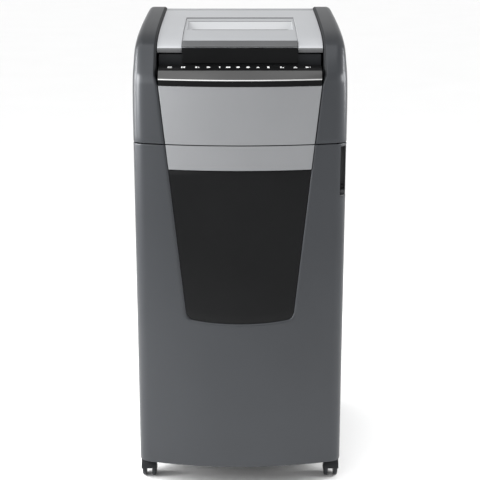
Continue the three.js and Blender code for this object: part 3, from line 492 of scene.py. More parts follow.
cutter_steel = material(
    "ground_cutter_steel", grey(0.2, 0.01), grey(0.3, 0.01), 0.3, 0.1, metallic=1.0, cloud=30,
    grain=700, bump=0.12, stretch=(1, 0.2, 0.2),
)
rubber = material(
    "black_rubber", grey(0.014, 0.0), grey(0.024, 0.0), 0.75, 0.1, cloud=20, grain=1300, bump=0.3
)
tread = material(
    "caster_tyre", grey(0.012, 0.1), grey(0.02, 0.1), 0.42, 0.08, cloud=18, grain=1200, bump=0.12,
    specular=0.25,
)
nylon = material(
    "natural_nylon", grey(0.66, -0.03), grey(0.74, -0.03), 0.45, 0.06, cloud=25, grain=900,
    bump=0.08,
)
laminate = material(
    "green_laminate", (0.01, 0.09, 0.035), (0.015, 0.13, 0.05), 0.3, 0.05, cloud=40, grain=900,
    bump=0.05, coat=0.3,
)
printed = material(
    "printed_symbols", grey(0.55, 0.0), grey(0.66, 0.0), 0.5, 0.05, cloud=50, grain=1500, bump=0.02
)
paint_screw = material(
    "black_screw", grey(0.03, 0.0), grey(0.05, 0.0), 0.35, 0.08, metallic=0.8, cloud=60,
    grain=1500, bump=0.05,
)


# ---------- the door ----------
DOOR_WALL, PANEL_INSET = 3.0, 0.9  # the front panels lie PANEL_INSET behind the casing
DOOR_HINGE, KNUCKLE_RADIUS, KNUCKLE_HEIGHT = (-223, -212), 6, 24
GRIP_X, GRIP_Z, GRIP_BACK = (216, 227.6), (686, 794), -211  # the inside of the grip's cup
CUP_WALL = 2


def front_row(x0, z, inset=0.0, back=DOOR_BACK, flats=18, turns=12, sides=3):
    """Points on the body's right half at height z: from x0 along the bulge, round the corner and
    back along the side, all moved in by inset."""
    plan = []
    for i in range(flats):
        x = lerp(x0, CORNER_X, i / flats)
        plan.append((x, front_y(x)))
    plan += [corner(k / turns) for k in range(turns + 1)]
    plan += [(WIDTH / 2, lerp(SIDE_Y, back, k / sides)) for k in range(1, sides + 1)]
    if inset:
        plan = pushed_in(plan, inset)
    return [(x, y, z) for x, y in plan]


def pushed_in(plan, inset):
    """A path that runs to the right and then back, moved in by inset."""
    out = []
    for i, (x, y) in enumerate(plan):
        x0, y0 = plan[max(0, i - 1)]
        x1, y1 = plan[min(len(plan) - 1, i + 1)]
        length = math.hypot(x1 - x0, y1 - y0) or 1
        out.append((x - (y1 - y0) / length * inset, y + (x1 - x0) / length * inset))
    if plan[0][0] == 0:
        out[0] = (0.0, out[0][1])
    return out


def build_door_casing():
    """The outer casing, open in the middle for the insert, with its hinge knuckles."""
    # Below the foot each row spans the whole front, and above it the rows stop at the opening.
    foot = foot_curve(CHAMFER)
    heights = [(BODY_BOTTOM + d, inset, 0.0) for d, inset in EDGE_ROWS]
    heights += [(lerp(70, foot[0][1] - 4, k / 9), 0.0, 0.0) for k in range(10)]
    heights += [(z, 0.0, x) for x, z in foot]
    top = DOOR_TOP + 0.2
    heights += [
        (z, 0.0, insert_half(z) + CHAMFER)
        for z in [lerp(foot[-1][1] + 8, top - 3, k / 11) for k in range(12)]
    ]
    heights += [
        (top - d, inset, insert_half(top) + CHAMFER) for d, inset in reversed(EDGE_ROWS)
    ]
    skin = Skin()
    skin.grid([front_row(x0, z, inset) for z, inset, x0 in heights])
    # The bevel round the opening, and a wall behind it.
    edge = list(zip(foot, foot_curve(0.0)))
    for z, _, x0 in heights[-12 - len(EDGE_ROWS):]:
        edge.append(((x0, z), (x0 - CHAMFER, z)))
    rows = []
    for (xa, za), (xb, zb) in edge:
        mid = mix((xa, za), (xb, zb), 0.7)
        rows.append(
            [
                (xb, front_y(xb) + 12, zb),
                (xb, front_y(xb) + CHAMFER * 0.6, zb),
                (mid[0], front_y(mid[0]) + CHAMFER * 0.25, mid[1]),
                (xa, front_y(xa), za),
            ]
        )
    rows[0] = [(0.0, y, z) for _, y, z in rows[0]]
    skin.grid(rows)
    skin.mirror()
    shell = thicken(skin.build(), DOOR_WALL)
    grip_room = block(GRIP_X[0], 240, -300, -208.6, 683.6, 796.4)
    shell = combine(shell, grip_room)
    tie = block(-171, 171, -227, DOOR_BACK, DOOR_TOP - 12, DOOR_TOP - 0.2)
    knuckles = [
        rod(KNUCKLE_RADIUS, low, low + KNUCKLE_HEIGHT, "z", (*DOOR_HINGE, 0))
        for low in (BODY_BOTTOM + 0.2, DOOR_TOP - KNUCKLE_HEIGHT - 0.2)
    ]
    shell = join(shell, round_edges(tie, 0.6), *knuckles)
    piece(smooth(shell, 42), "door_casing", "door", charcoal, "door_shell")


def build_door_front():
    """The silver band, the smoked window and the finger grip."""
    piece(
        front_panel(WINDOW_TOP + 1.6, DOOR_TOP, PANEL_INSET),
        "door_silver_band", "door", silver, "door_band",
    )
    piece(
        window_pane(), "door_window_pane", "door", window_black, "door_window"
    )

    # The grip: a lined pocket that follows the corner, with two ribs and a stop at its foot.
    (x0, x1), (z0, z1) = GRIP_X, GRIP_Z
    low, high = z0 - CUP_WALL, z1 + CUP_WALL
    outline = [(x, y) for x, y, _ in front_row(190, 0, 0.5)] + [(190, DOOR_BACK)]
    room = block(x0 - CUP_WALL, x1 + CUP_WALL, -300, GRIP_BACK + CUP_WALL, low, high)
    cup = combine(prism(outline, low, high), room, "INTERSECT")
    cup = combine(cup, block(x0, x1, -300, GRIP_BACK, z0, z1))
    ribs = [block(x0, x1, -226, GRIP_BACK, z, z + 1.6) for z in (697, 702)]
    stop = block(x0 + 0.3, x1 - 0.3, -232, GRIP_BACK, z0 + 0.2, z0 + 10)
    cup = join(round_edges(cup, 0.5), *[round_edges(r, 0.4) for r in ribs])
    cup = join(cup, round_edges(stop, 0.8))
    piece(smooth(cup, 40), "door_grip_cup", "door", bin_plastic, "door_grip")


def front_panel(low, high, inset, gap=0.8, wall=2.4, edge=0.7):
    """A panel of the tapered insert between two heights, following the bulge."""
    steps, levels = 64, 8
    rows = []
    for r in range(levels + 1):
        z = lerp(low, high, r / levels)
        half = insert_half(z) - gap
        across = [lerp(-half, half, c / steps) for c in range(steps + 1)]
        rows.append([(x, front_y(x, inset), z) for x in across])
    panel = thicken(Skin().grid(rows).build(), wall)
    return smooth(round_edges(panel, edge, 3, 50), 50, weighted=True)


def window_pane():
    """The window: straight sides, and a foot that follows the opening's rounded end."""
    half_foot = foot_curve(-0.8)
    foot = [(-x, z) for x, z in reversed(half_foot[1:])] + half_foot
    top = insert_half(WINDOW_TOP) - 0.8
    levels = 16
    rows = []
    for r in range(levels + 1):
        row = []
        for c, (x, z) in enumerate(foot):
            goal = (lerp(-top, top, c / (len(foot) - 1)), WINDOW_TOP)
            px, pz = mix((x, z), goal, r / levels)
            row.append((px, front_y(px, 2.2), pz))
        rows.append(row)
    pane = thicken(Skin().grid(rows).build(), 2.6)
    return smooth(round_edges(pane, 0.6, 2, 50), 50)


build_door_casing()
build_door_front()

# ---------- the head's casings ----------
HEAD_LOW = HEAD_BOTTOM - 2
TOP_PATH = spline(TOP_LINE, 10)
SILL = (ARM_INNER, -246)
BROW_NORMAL = (-0.713, 0.701)
BROW_ROUND, CREST_ROUND, BACK_ROUND = (22, 17), (12, 10), (30, 30)  # (reach, drop) of the edge


def top_z(y, drop=LID_DROP):
    """The height of the head's top line at y, lowered by drop."""
    for (y0, z0), (y1, z1) in zip(TOP_PATH, TOP_PATH[1:]):
        if y0 <= y <= y1:
            return lerp(z0, z1, (y - y0) / (y1 - y0)) - drop
    return TOP_PATH[-1][1] - drop


def front_arm_row(z, inset=0.0):
    """A row across an arm's upright front: from inside its inner edge out to the flat side."""
    ramp = min(1, max(0, (z - 936) / 6))  # steps in to ARM_INNER just under the crease
    x_in = lerp(insert_half(z), ARM_INNER, ramp)
    x0 = x_in + CHAMFER
    scale = (shoulder(z) - x0) / (WIDTH / 2 - x0)
    upright = front_row(x0, z, inset, flats=10, turns=10, sides=0)
    across = [(x0 + (x - x0) * scale, y, z) for x, y, _ in upright]
    y0 = front_y(x0, inset)
    low, half = CHAMFER * lerp(0.6, 1.25, ramp), CHAMFER * lerp(0.25, 0.55, ramp)
    deep = [(x_in, y0 + 12, z), (x_in, y0 + low, z), (lerp(x0, x_in, 0.7), y0 + half, z)]
    return deep + across


def over_arm_row(y, z, normal, reach, drop, inset=0.0):
    """A row across an arm's top or back, with an outer edge rounded by reach and drop."""
    ny, nz = normal
    x0 = ARM_INNER + CHAMFER
    x_edge = shoulder(z - nz * drop) - reach

    def at(x, depth):
        return (x, y - ny * depth, z - nz * depth)

    row = [at(ARM_INNER, 12), at(ARM_INNER, CHAMFER * 1.25)]
    row.append(at(lerp(x0, ARM_INNER, 0.7), CHAMFER * 0.55))
    row += [at(lerp(x0, x_edge, i / 10), inset) for i in range(10)]
    for k in range(11):
        a = k / 10 * math.pi / 2
        x = x_edge + (reach - inset) * math.sin(a)
        row.append(at(x, inset + (drop - inset) * (1 - math.cos(a))))
    return row


def path_normal(path, i):
    (y0, z0), (y1, z1) = path[max(0, i - 1)], path[min(len(path) - 1, i + 1)]
    length = math.hypot(y1 - y0, z1 - z0)
    return (-(z1 - z0) / length, (y1 - y0) / length)


def build_arms():
    """Both side arms. Each is one skin, whose rows run up the front and over to the crest, and
    are then matched with rows of the same heights down the back."""
    crest = max(range(len(TOP_PATH)), key=lambda i: TOP_PATH[i][1])
    front = [front_arm_row(HEAD_LOW + d, inset) for d, inset in EDGE_ROWS]
    front += [front_arm_row(z) for z in (815, 840, 865, 885, 900, 912, 921)]
    foot = front_arm_row(CREASE_Z)
    brow = over_arm_row(*BROW, BROW_NORMAL, BROW_ROUND[0], BROW_ROUND[1])
    front += bent_rows(front_arm_row(928), foot, mix_rows(foot, brow, 0.24), 10)
    front += [mix_rows(foot, brow, f) for f in (0.4, 0.56, 0.7)]
    over = []
    for i in range(7, crest + 1):
        round_off = min(1, i / 34)
        reach, drop = mix(BROW_ROUND, CREST_ROUND, round_off)
        over.append(over_arm_row(*TOP_PATH[i], path_normal(TOP_PATH, i), reach, drop))
    front += bent_rows(mix_rows(foot, brow, 0.8), brow, over[0], 10) + over[1:]

    # The back of the arm, sampled finely and then matched to the front's heights.
    back_path = TOP_PATH[crest:] + [(280, z) for z in (990, 960, 930, 900, 870, 840, HEAD_LOW)]
    samples = []
    for i, (y, z) in enumerate(back_path):
        f = min(1, max(0, (1050 - z) / 60)) if i else 0
        normal = (1.0, 0.0) if z < 1000 else path_normal(back_path, i)
        samples.append((y, z, normal, *mix(CREST_ROUND, BACK_ROUND, f)))

    def back_row(height, inset):
        rows = [over_arm_row(*s, inset) for s in samples]
        for upper, lower in zip(rows, rows[1:]):
            if lower[-1][2] <= height <= upper[-1][2] + 1e-6:
                f = (upper[-1][2] - height) / (upper[-1][2] - lower[-1][2])
                return mix_rows(upper, lower, f)
        return rows[-1]

    insets = [inset for _, inset in EDGE_ROWS] + [0.0] * (len(front) - len(EDGE_ROWS))
    back = [back_row(row[-1][2], inset) for row, inset in zip(front[:-1], insets)]
    skin = Skin()
    skin.grid(front + back[::-1])
    pairs = zip(front, back + [front[-1]])
    skin.grid([[mix(a[-1], b[-1], k / 10) for k in range(11)] for a, b in pairs])  # the flat side
    # The inner face, from the crease up, over and down to the sill.
    start = len(EDGE_ROWS) + 7
    inner = [row[0] for row in front[start:]] + [row[0] for row in back[::-1]]
    skin.polygon(inner + [(*SILL, HEAD_LOW)])
    for sign in (1, -1):
        side = Skin()
        side.verts = [(sign * x, y, z) for x, y, z in skin.verts]
        side.faces = [f if sign > 0 else tuple(reversed(f)) for f in skin.faces]
        arm = side.build()
        name = "right" if sign > 0 else "left"
        piece(
            smooth(arm, 50), f"head_{name}_arm", "cabinet", [charcoal, matt_black],
            f"head_{name}_side",
        )
        # Painted shade: the inner bevels above the crease get the black finish, standing in for the
        # dark gap between each arm and the lid.
        paint(arm, lambda c, n: int(abs(c.x) < ARM_INNER + CHAMFER * 0.8 and c.z > 944))


def mix_rows(a, b, f):
    return [mix(p, q, f) for p, q in zip(a, b)]


def bent_rows(a, b, c, steps):
    """Rows that run from a to c in a curve that leans towards b."""
    return [[bend(p, q, r, k / steps) for p, q, r in zip(a, b, c)] for k in range(steps + 1)]


# The control panel's strip of symbols lies on the plane between these two (y, z) lines.
STRIP = ((-250, 956.6), (-222.2, 966))


def build_control_panel():
    steps = 72
    stations = [lerp(-172.6, 172.6, k / steps) for k in range(steps + 1)]
    rows = []
    for x in stations:
        y = front_y(x, 0.6)
        row = [(x, y, z) for z in (PANEL_BOTTOM, 930, 934, 938.2)]
        row += [(x, y + 0.2, 939.1), (x, y + 0.7, 939.8), (x, y + 1.6, 940.4)]
        crease = (y + 1.6, 940.4)
        for k in range(1, 7):
            py, pz = bend(crease, (-257, 952.5), STRIP[0], k / 6)
            row.append((x, py, pz))
        row += [(x, *mix(STRIP[0], STRIP[1], f)) for f in (0.04, 0.5, 0.97)]
        row += [(x, STRIP[1][0], STRIP[1][1] - 0.5), (x, STRIP[1][0], 948)]
        rows.append(row)
    panel = smooth(thicken(Skin().grid(rows, flip=True).build(), 2.2), 50)
    piece(
        panel, "control_panel_cover", "cabinet", [gloss_black, crease_highlight, slope_grey_reflection], "control_panel",
    )

    # Faces below the crease and on the strip stay gloss black; the crease rows get the bright band, a
    # painted highlight, and the slope gets the grey, a painted reflection.
    def panel_finish_and_light_at(c, n):
        if c.z < 938.2 or c.y > STRIP[0][0] + 0.2:
            return 0
        return 1 if c.z < 940.1 else 2

    paint(panel, panel_finish_and_light_at)
    build_symbols()


def build_symbols():
    """Small generic signs on the strip: bars, discs, arrows and sheets, each a thin print."""

    def disc(radius, steps=20):
        angles = [2 * math.pi * k / steps for k in range(steps)]
        return [(radius * math.cos(a), radius * math.sin(a)) for a in angles]

    def bar(u0, u1, v0, v1):
        return [(u0, v0), (u1, v0), (u1, v1), (u0, v1)]

    sheet = bar(-2.2, 2.2, -3.4, 3.4)
    arrow = [(-3.4, -2.6), (3.4, -2.6), (0, 3.4)]
    signs = [
        [bar(-4, 4, -3, -1.2), bar(-4, 4, 0.8, 2.6)],
        [bar(-4, -1.4, -3.2, 3.2), bar(0.2, 3.4, -3.2, 3.2)],
        [bar(-4.2, -0.6, -2.8, 2.8), [(1.0, -3.0), (4.4, 0), (1.0, 3.0)]],
        [bar(-3.8, -1.4, -3, 3), disc(2.6)],
        [bar(-1.0, 1.0, -3.4, 3.4)],
        [bar(-4.2, 4.2, -2.6, 2.6)],
        [disc(3.4)],
        [disc(3.6, 6)],
        [arrow],
        [sheet],
        [bar(-3.6, -0.8, -3.2, 3.2), bar(0.8, 3.6, -3.2, 0)],
        [bar(-3.6, 3.6, -3.4, -1.6), [(-3, 0), (3, 0), (0, 3.4)]],
        [bar(-3.6, -1.6, -3, 3), disc(2.2), bar(4.6, 5.4, -3, 3)],
    ]
    places = [-149, -120, -90, -66, -43, -25, -4, 17, 38, 60, 89, 117, 143]
    (y0, z0), (y1, z1) = STRIP
    length = math.hypot(y1 - y0, z1 - z0)
    along = ((y1 - y0) / length, (z1 - z0) / length)
    normal = (-along[1], along[0])
    centre = mix(STRIP[0], STRIP[1], 0.55)
    size = 1.1

    def on_strip(x, u, v, h):
        y, z = (c + a * size * v + n * h for c, a, n in zip(centre, along, normal))
        return (x + size * u, y, z)

    prints = []
    for x, shapes in zip(places, signs):
        for shape in shapes:
            under, over = ([on_strip(x, u, v, h) for u, v in shape] for h in (-0.3, 0.16))
            skin = Skin().grid([[*under, under[0]], [*over, over[0]]], flip=True)
            prints.append(skin.polygon(over).build(weld=0.001))
    symbols = join(prints[0], *prints[1:])
    piece(symbols, "control_symbols", "cabinet", printed)


def lid_outline(y0, y1, drop, floor):
    """The lid's side view between y0 and y1: a flat floor and a top that follows the head."""
    ys = [y0] + [y for y, _ in TOP_PATH if y0 + 1 < y < y1 - 1] + [y1]
    return [(y1, floor), (y0, floor)] + [(y, top_z(y, LID_DROP + drop)) for y in ys]


LID_FRONT, LID_REAR, LID_LOW, LID_HALF = -205, 168, 989, 177.6
SLOT_Y0, SLOT_Y1, SLOT_Z = -83.5, -76.5, 1014  # the single-sheet slot at the foot of its ramp
RAMP_HALF = 118


def build_lid():
    """The lid's casing, the raised insert with its ramp and slot, and the grip plate."""
    shell = prism(lid_outline(LID_FRONT, LID_REAR, 0, LID_LOW), -LID_HALF, LID_HALF, "x")
    inside = prism(lid_outline(LID_FRONT + 3, LID_REAR - 3, 3.2, LID_LOW - 9), -174.8, 174.8, "x")
    shell = combine(shell, inside)
    shell = combine(shell, block(-124.5, 124.5, -300, 54.5, 900, 1100))
    shell = round_edges(shell, 1.3, 3, 35)
    barrel = rod(8, -LID_HALF, LID_HALF, "x", (0, *LID_HINGE), 1.2, 64)
    shell = join(shell, barrel)
    piece(smooth(shell, 35, True), "lid_casing", "lid", [pale, grey_strip_and_shade], "lid_shell")
    # Front-facing faces low on the lid's front edge and behind the cut-out get the grey: partly the
    # lid's grey front band, partly painted shade that replaces the edge's highlight and darkens the
    # step.
    paint(shell, lambda c, n: int(n.y < -0.3 and (c.z < 999 or c.y > 50)))

    # The manual-feed insert: a frame set a little below the lid, with a ramp down to the slot.
    half, sunk = 123.9, 1.6
    insert = prism(lid_outline(-197.5, 52.6, sunk, 998.8), -half, half, "x")
    hollow = prism(lid_outline(-194.5, 49, sunk + 3, 900), -half + 3, half - 3, "x")
    trough = prism(
        [(SLOT_Y0, 1200), (SLOT_Y0, SLOT_Z), (SLOT_Y1, SLOT_Z), (16, 1036), (18, 1200)],
        -RAMP_HALF, RAMP_HALF, "x",
    )
    under = SLOT_Z - 5
    lining = prism(
        [(SLOT_Y0 - 3, 1025), (SLOT_Y0 - 3, under), (SLOT_Y1, under), (27, 1032), (27, 1036)],
        -RAMP_HALF - 3, RAMP_HALF + 3, "x",
    )
    insert = combine(insert, hollow)
    insert = combine(insert, lining, "UNION")
    insert = combine(insert, trough)
    duct = block(-115, 115, SLOT_Y0 - 3, SLOT_Y1 + 3, 975, 1012)
    insert = combine(insert, duct, "UNION")
    insert = combine(insert, block(-112, 112, SLOT_Y0, SLOT_Y1, 900, 1030))
    insert = round_edges(insert, 0.5, 2, 35)
    piece(
        smooth(insert, 35, True), "manual_feed_frame", "lid", [insert_pale, ramp_painted_light, grey_strip_and_shade],
        "manual_feed_insert",
    )

    # The ramp's up-facing faces get the lighter pale (painted light), the front-facing step at the
    # top of the ramp gets the grey (painted shade), and the rest keeps the insert's pale.
    def insert_finish_and_shading(c, n):
        if abs(c.x) < RAMP_HALF + 0.5 and n.z > 0.5 and SLOT_Y1 - 1 < c.y < 17 and c.z < 1036.5:
            return 1
        return 2 if n.y < -0.5 and 15 < c.y < 20 else 0

    paint(insert, insert_finish_and_shading)
    # Painted shade: a thin black rubber lip along the slot's front edge stands in for the dark line
    # of the slot.
    lip_z = top_z(SLOT_Y0) - sunk
    lip = block(-107, 107, SLOT_Y0 - 1.9, SLOT_Y0 + 0.6, lip_z - 4, lip_z + 0.3)
    lip = round_edges(lip, 0.3, 2)
    piece(smooth(lip, 40), "slot_shadow_lip", "lid", rubber)

    # The grey strip along the insert's front edge, a thin plate bent to the lid's slope.
    ys = [lerp(-199.2, -177, k / 8) for k in range(9)]
    steps = 24
    rows = [
        [(lerp(-123.7, 123.7, c / steps), y, top_z(y) + 0.35) for c in range(steps + 1)] for y in ys
    ]
    strip = round_edges(thicken(Skin().grid(rows, flip=True).build(), 1.2), 0.3, 2, 50)
    piece(smooth(strip, 45), "insert_front_strip", "lid", grey_strip_and_shade)

    # The grip plate hangs from the lid's front edge and hooks back at its foot.
    hook = [(LID_FRONT, 998.4), (-208, 998.4), (-208, 966.4), (-201.6, 966.4), (-201.6, 968.8)]
    handle = prism(hook + [(LID_FRONT, 968.8)], -123.8, 123.8, "x")
    handle = round_edges(handle, 0.9, 3, 35)
    piece(
        smooth(handle, 35, True), "lid_grip_plate", "lid", gloss_black, "lid_handle"
    )


def screw(x, y, z, radius=3.6):
    """A countersunk cross-head screw seen from behind, flush with the surface at y."""
    head = rod(radius, y - 2.4, y - 0.5, "y", (x, 0, z), 0.5, 28)
    for turn in (0, 1):
        w, h = (0.5, 2.1) if turn else (2.1, 0.5)
        head = combine(head, block(x - w, x + w, y - 1.4, y + 1, z - h, z + h))
    return head


def drill(target, spots):
    """Sinks a screw's seat at each (x, z) spot on the back."""
    for x, z in spots:
        target = combine(target, rod(4.4, 277.4, 290, "y", (x, 0, z), 0.2, 28))
    return target


def fasten(name, spots):
    """One piece with a screw at each (x, z) spot on the back."""
    screws = join(*[screw(x, 279.6, z) for x, z in spots])
    piece(smooth(screws, 40), name, "cabinet", paint_screw)


def build_rear_cover():
    """The cover behind the lid: it follows the top line, then drops down the head's back."""
    outer = [(y, top_z(y)) for y in [178] + [y for y, _ in TOP_PATH if 179 < y < 279]]
    outer += [(280, 1003), (280, HEAD_LOW)]
    inner = [(276, HEAD_LOW), (276, 1001)]
    inner += [(y, top_z(y) - 4) for y in [y for y, _ in TOP_PATH if 179 < y < 275][::-1] + [178]]
    cover = prism(outer + inner, -177.9, 177.9, "x")
    cover = combine(cover, rod(9.4, -200, 200, "x", (0, *LID_HINGE), 0.1, 64))
    for k in range(7):
        low = 834 + 11 * k
        slot = round_edges(block(-128, -58, 270, 290, low, low + 5), 1.6, 3)
        cover = combine(cover, slot)
    cover = combine(cover, round_edges(block(82, 117, 270, 290, 824, 853), 1.2, 2))
    cover = combine(cover, round_edges(block(125.1, 145.3, 270, 290, 826, 851), 1.2, 2))
    spots = [(-160, 822), (160, 822), (-160, 985), (160, 985)]
    cover = round_edges(drill(cover, spots), 0.7, 2, 40)
    piece(
        smooth(cover, 40), "rear_cover", "cabinet", [charcoal, pale], "head_rear_cover",
    )
    paint(cover, lambda c, n: int(n.z > 0.5 and c.z > 1040 and c.y < 232))
    fasten("rear_cover_screws", spots)


build_arms()
piece(
    front_panel(HEAD_LOW, PANEL_BOTTOM - 0.8, PANEL_INSET),
    "head_silver_panel", "cabinet", silver, "head_front_panel",
)
build_control_panel()
build_lid()
build_rear_cover()


# ---------- the cabinet ----------


def build_cabinet():
    # Each side wraps from the front flange, along the side and round the rear corner.
    plan = [(212, -200.2), (226, -200.6), (228.8, -200.2), (229.8, -199.4), (230, -198)]
    plan += [(230, lerp(-190, 250, k / 10)) for k in range(11)]
    plan += [bend((230, 250), (230, 280), (200, 280), k / 12) for k in range(1, 13)]
    plan += [(195, 280), (190.8, 280), (190.2, 279.6), (190, 278.8), (190, 276)]
    low, high = BODY_BOTTOM, DOOR_TOP + 0.4
    heights = [(low + d, inset) for d, inset in EDGE_ROWS]
    heights += [(lerp(low + 10, high - 10, k / 8), 0.0) for k in range(9)]
    heights += [(high - d, inset) for d, inset in reversed(EDGE_ROWS)]
    rows = []
    for z, inset in heights:
        path = pushed_in(plan, inset) if inset else plan
        rows.append([(x, y, z) for x, y in path])
    for sign in (1, -1):
        skin = Skin().grid([[(sign * x, y, z) for x, y, z in row] for row in rows], flip=sign < 0)
        side = thicken(skin.build(), 2.6)
        name = "right" if sign > 0 else "left"
        piece(
            smooth(side, 40), f"cabinet_{name}_wrap", "cabinet", charcoal,
            f"cabinet_{name}_panel",
        )

    # The back panel has a shallow groove pressed round it.
    rear = block(-189.4, 189.4, 276.2, 280, BODY_BOTTOM, DOOR_TOP)
    x, z0, z1, groove = 168, 92, 768, 3.2
    ring = block(-x, x, 279.1, 282, z0, z1)
    ring = combine(ring, block(groove - x, x - groove, 270, 290, z0 + groove, z1 - groove))
    rear = combine(rear, ring)
    spots = [(x, z) for x in (-179, 179) for z in (76, 430, 785)]
    rear = round_edges(drill(rear, spots), 0.6, 2, 40)
    piece(
        smooth(rear, 40, True), "cabinet_back", "cabinet", charcoal, "cabinet_rear_panel",
    )
    fasten("cabinet_back_screws", spots)


build_cabinet()


def finish_cad_pieces(rows):
    """CAD pieces that keep their shape, with merged faces and rounded edges."""
    for node, body, finish, slot, edge in rows:
        piece(refined(node, edge), f"{node}_detailed", body, finish, node)


finish_cad_pieces([
    ("base_pan", "cabinet", matt_black, "black_plastic", 0.8),
    ("deck_plate", "cabinet", galvanised, "plated_steel", 0.5),
    ("shred_chute", "cabinet", matt_black, "black_plastic", 0.6),
    ("waste_bin", "cabinet", bin_plastic, "bin_plastic", 0.9),
    ("door_hinge_lower", "cabinet", steel, "plated_steel", 0.4),
    ("door_hinge_upper", "cabinet", steel, "plated_steel", 0.3),
    ("door_magnet", "cabinet", matt_black, "black_plastic", 0.8),
    ("door_safety_switch", "cabinet", matt_black, "black_plastic", 0.8),
    ("paper_tray", "cabinet", recess_black, "black_plastic", 0.8),
    ("cutter_plate_right", "cabinet", galvanised, "plated_steel", 0.4),
    ("cutter_plate_left", "cabinet", galvanised, "plated_steel", 0.4),
    ("circuit_board", "cabinet", laminate, "circuit_laminate", 0.3),
    ("power_inlet", "cabinet", matt_black, "black_plastic", 0.6),
    ("fan_frame", "cabinet", matt_black, "black_plastic", 0.6),
    ("door_inner_panel", "door", matt_black, "black_plastic", 0.8),
    ("door_strike_plate", "door", steel, "plated_steel", 0.3),
    ("lid_inner_panel", "lid", recess_black, "black_plastic", 0.6),
    ("press_plate", "press", matt_black, "black_plastic", 0.8),
    ("power_switch", "switch", gloss_black, "gloss_black", 0.7),
])

# ---------- the cutting unit and the other turned pieces ----------
CUTTER_Z, CUTTER_FRONT_Y, CUTTER_REAR_Y = 855, -72, -32
DISC_RADIUS, DISC_PITCH, DISCS, DISC_TEETH = 21.5, 18, 12, 8
ROLLER_Z, ROLLER_FRONT_Y, ROLLER_REAR_Y = 899, -66, -38
ROLLER_MIDDLES = (-78, -26, 26, 78)
PULLEY_ENDS = (-157.5, -148.5)
MOTOR_Y = 83
CASTERS = {
    "front_left": (-212, -178),
    "front_right": (212, -178),
    "rear_left": (-212, 236),
    "rear_right": (212, 236),
}
TRAIL, WHEEL_RADIUS, WHEEL_INNER = 10, 22, 6.8


def pulley(y, z):
    low, high = PULLEY_ENDS
    profile = [(0, low), (9.4, low), (10, low + 0.6), (10, low + 1.2), (9.2, low + 1.6)]
    profile += [(9.2, high - 1.6), (10, high - 1.2), (10, high - 0.6), (9.4, high), (0, high)]
    return lathe(profile, "x", (0, y, z))


def build_cutter(node, body, y, offset, end):
    """A shaft with notched discs; each tooth has a straight face and a sloping back."""
    shaft = rod(14, -121, 121, "x", (0, y, CUTTER_Z), 1)
    journal = rod(9, end, 144, "x", (0, y, CUTTER_Z), 0.8)
    outline = []
    for t in range(DISC_TEETH):
        start = 2 * math.pi * t / DISC_TEETH
        for turn, radius in [(0, DISC_RADIUS), (0.36, 20.2), (0.6, 18.6), (0.74, 18), (0.9, 19.4)]:
            a = start + turn * 2 * math.pi / DISC_TEETH
            outline.append((y + radius * math.cos(a), CUTTER_Z + radius * math.sin(a)))
    discs = []
    for i in range(DISCS):
        x = (i - (DISCS - 1) / 2) * DISC_PITCH + offset
        discs.append(round_edges(prism(outline, x - 4.1, x + 4.1, "x"), 0.4, 2, 20))
    spacers = [
        rod(15.6, x - 3.5, x + 3.5, "x", (0, y, CUTTER_Z), 0.5)
        for x in ((i - DISCS / 2) * DISC_PITCH + offset for i in range(1, DISCS))
    ]
    whole = join(shaft, journal, *discs, *spacers)
    if end < -150:
        whole = join(whole, pulley(y, CUTTER_Z))
    piece(smooth(whole, 35), f"{node}_discs", body, cutter_steel, node)


def build_roller(node, body, y, end):
    axle = rod(4.5, end, 130, "x", (0, y, ROLLER_Z), 0.5)
    tyres = []
    for x in ROLLER_MIDDLES:
        profile = [(0, x - 17), (11.4, x - 17), (12.2, x - 16.2)]
        for k in range(12):
            ridge = x - 15.4 + k * 2.6
            profile += [(12.4, ridge), (12.4, ridge + 1.3)]
            profile += [(11.7, ridge + 1.6), (11.7, ridge + 2.3)]
        profile += [(12.2, x + 16.2), (11.4, x + 17), (0, x + 17)]
        tyres.append(lathe(profile, "x", (0, y, ROLLER_Z), 56))
    whole = join(axle, *tyres)
    if end < -150:
        whole = join(whole, pulley(y, ROLLER_Z))
    piece(smooth(whole, 35), f"{node}_ribbed", body, rubber, node)


def build_motor():
    profile = [(0, 30), (28, 30), (30, 31), (31, 34), (37.4, 35), (38, 36)]
    for k in range(9):
        fin = 40 + k * 6
        profile += [(38, fin), (37.6, fin + 0.4), (36, fin + 0.6)]
        profile += [(36, fin + 2), (37.6, fin + 2.2), (38, fin + 2.6)]
    profile += [(38, 107), (37, 110), (31, 117), (29.5, 118), (15, 118), (14.4, 118.4), (14, 119)]
    profile += [(14, 121), (13.6, 121.4), (5.6, 121.4), (5.6, 104), (0, 104)]
    can = lathe(profile, "x", (0, MOTOR_Y, CUTTER_Z), 72)
    piece(smooth(can, 35), "motor_can", "cabinet", steel, "motor")


def build_wheel(where, x, y, side):
    """A caster wheel with a rounded tread, a ringed outer face and an axle cap."""
    r = WHEEL_RADIUS
    profile = [(2.3, 0), (r - 1.2, 0), (r - 0.4, 0.3), (r, 1.1), (r, 4.6), (r - 0.35, 6)]
    profile += [(r - 1.3, 7.4), (r - 2.8, 8.5), (r - 4.4, 9.1), (r - 5, 9.2), (r - 5.5, 8.4)]
    profile += [(r - 6.6, 8.4), (r - 7.1, 9.3), (8, 10), (6, 10.2), (5.4, 10.7)]
    profile += [(2.3, 10.7), (2.3, 0)]
    way = 1 if y > 0 else -1
    sign = way if side == "a" else -way
    outline = [(radius, sign * (WHEEL_INNER + d)) for radius, d in profile]
    wheel = lathe(outline, "x", (x, y + way * TRAIL, r), 64)
    node = f"caster_{where}_wheel_{side}"
    piece(smooth(wheel, 40), f"{node}_tyre", f"wheel_{where}_{side}", tread, node)


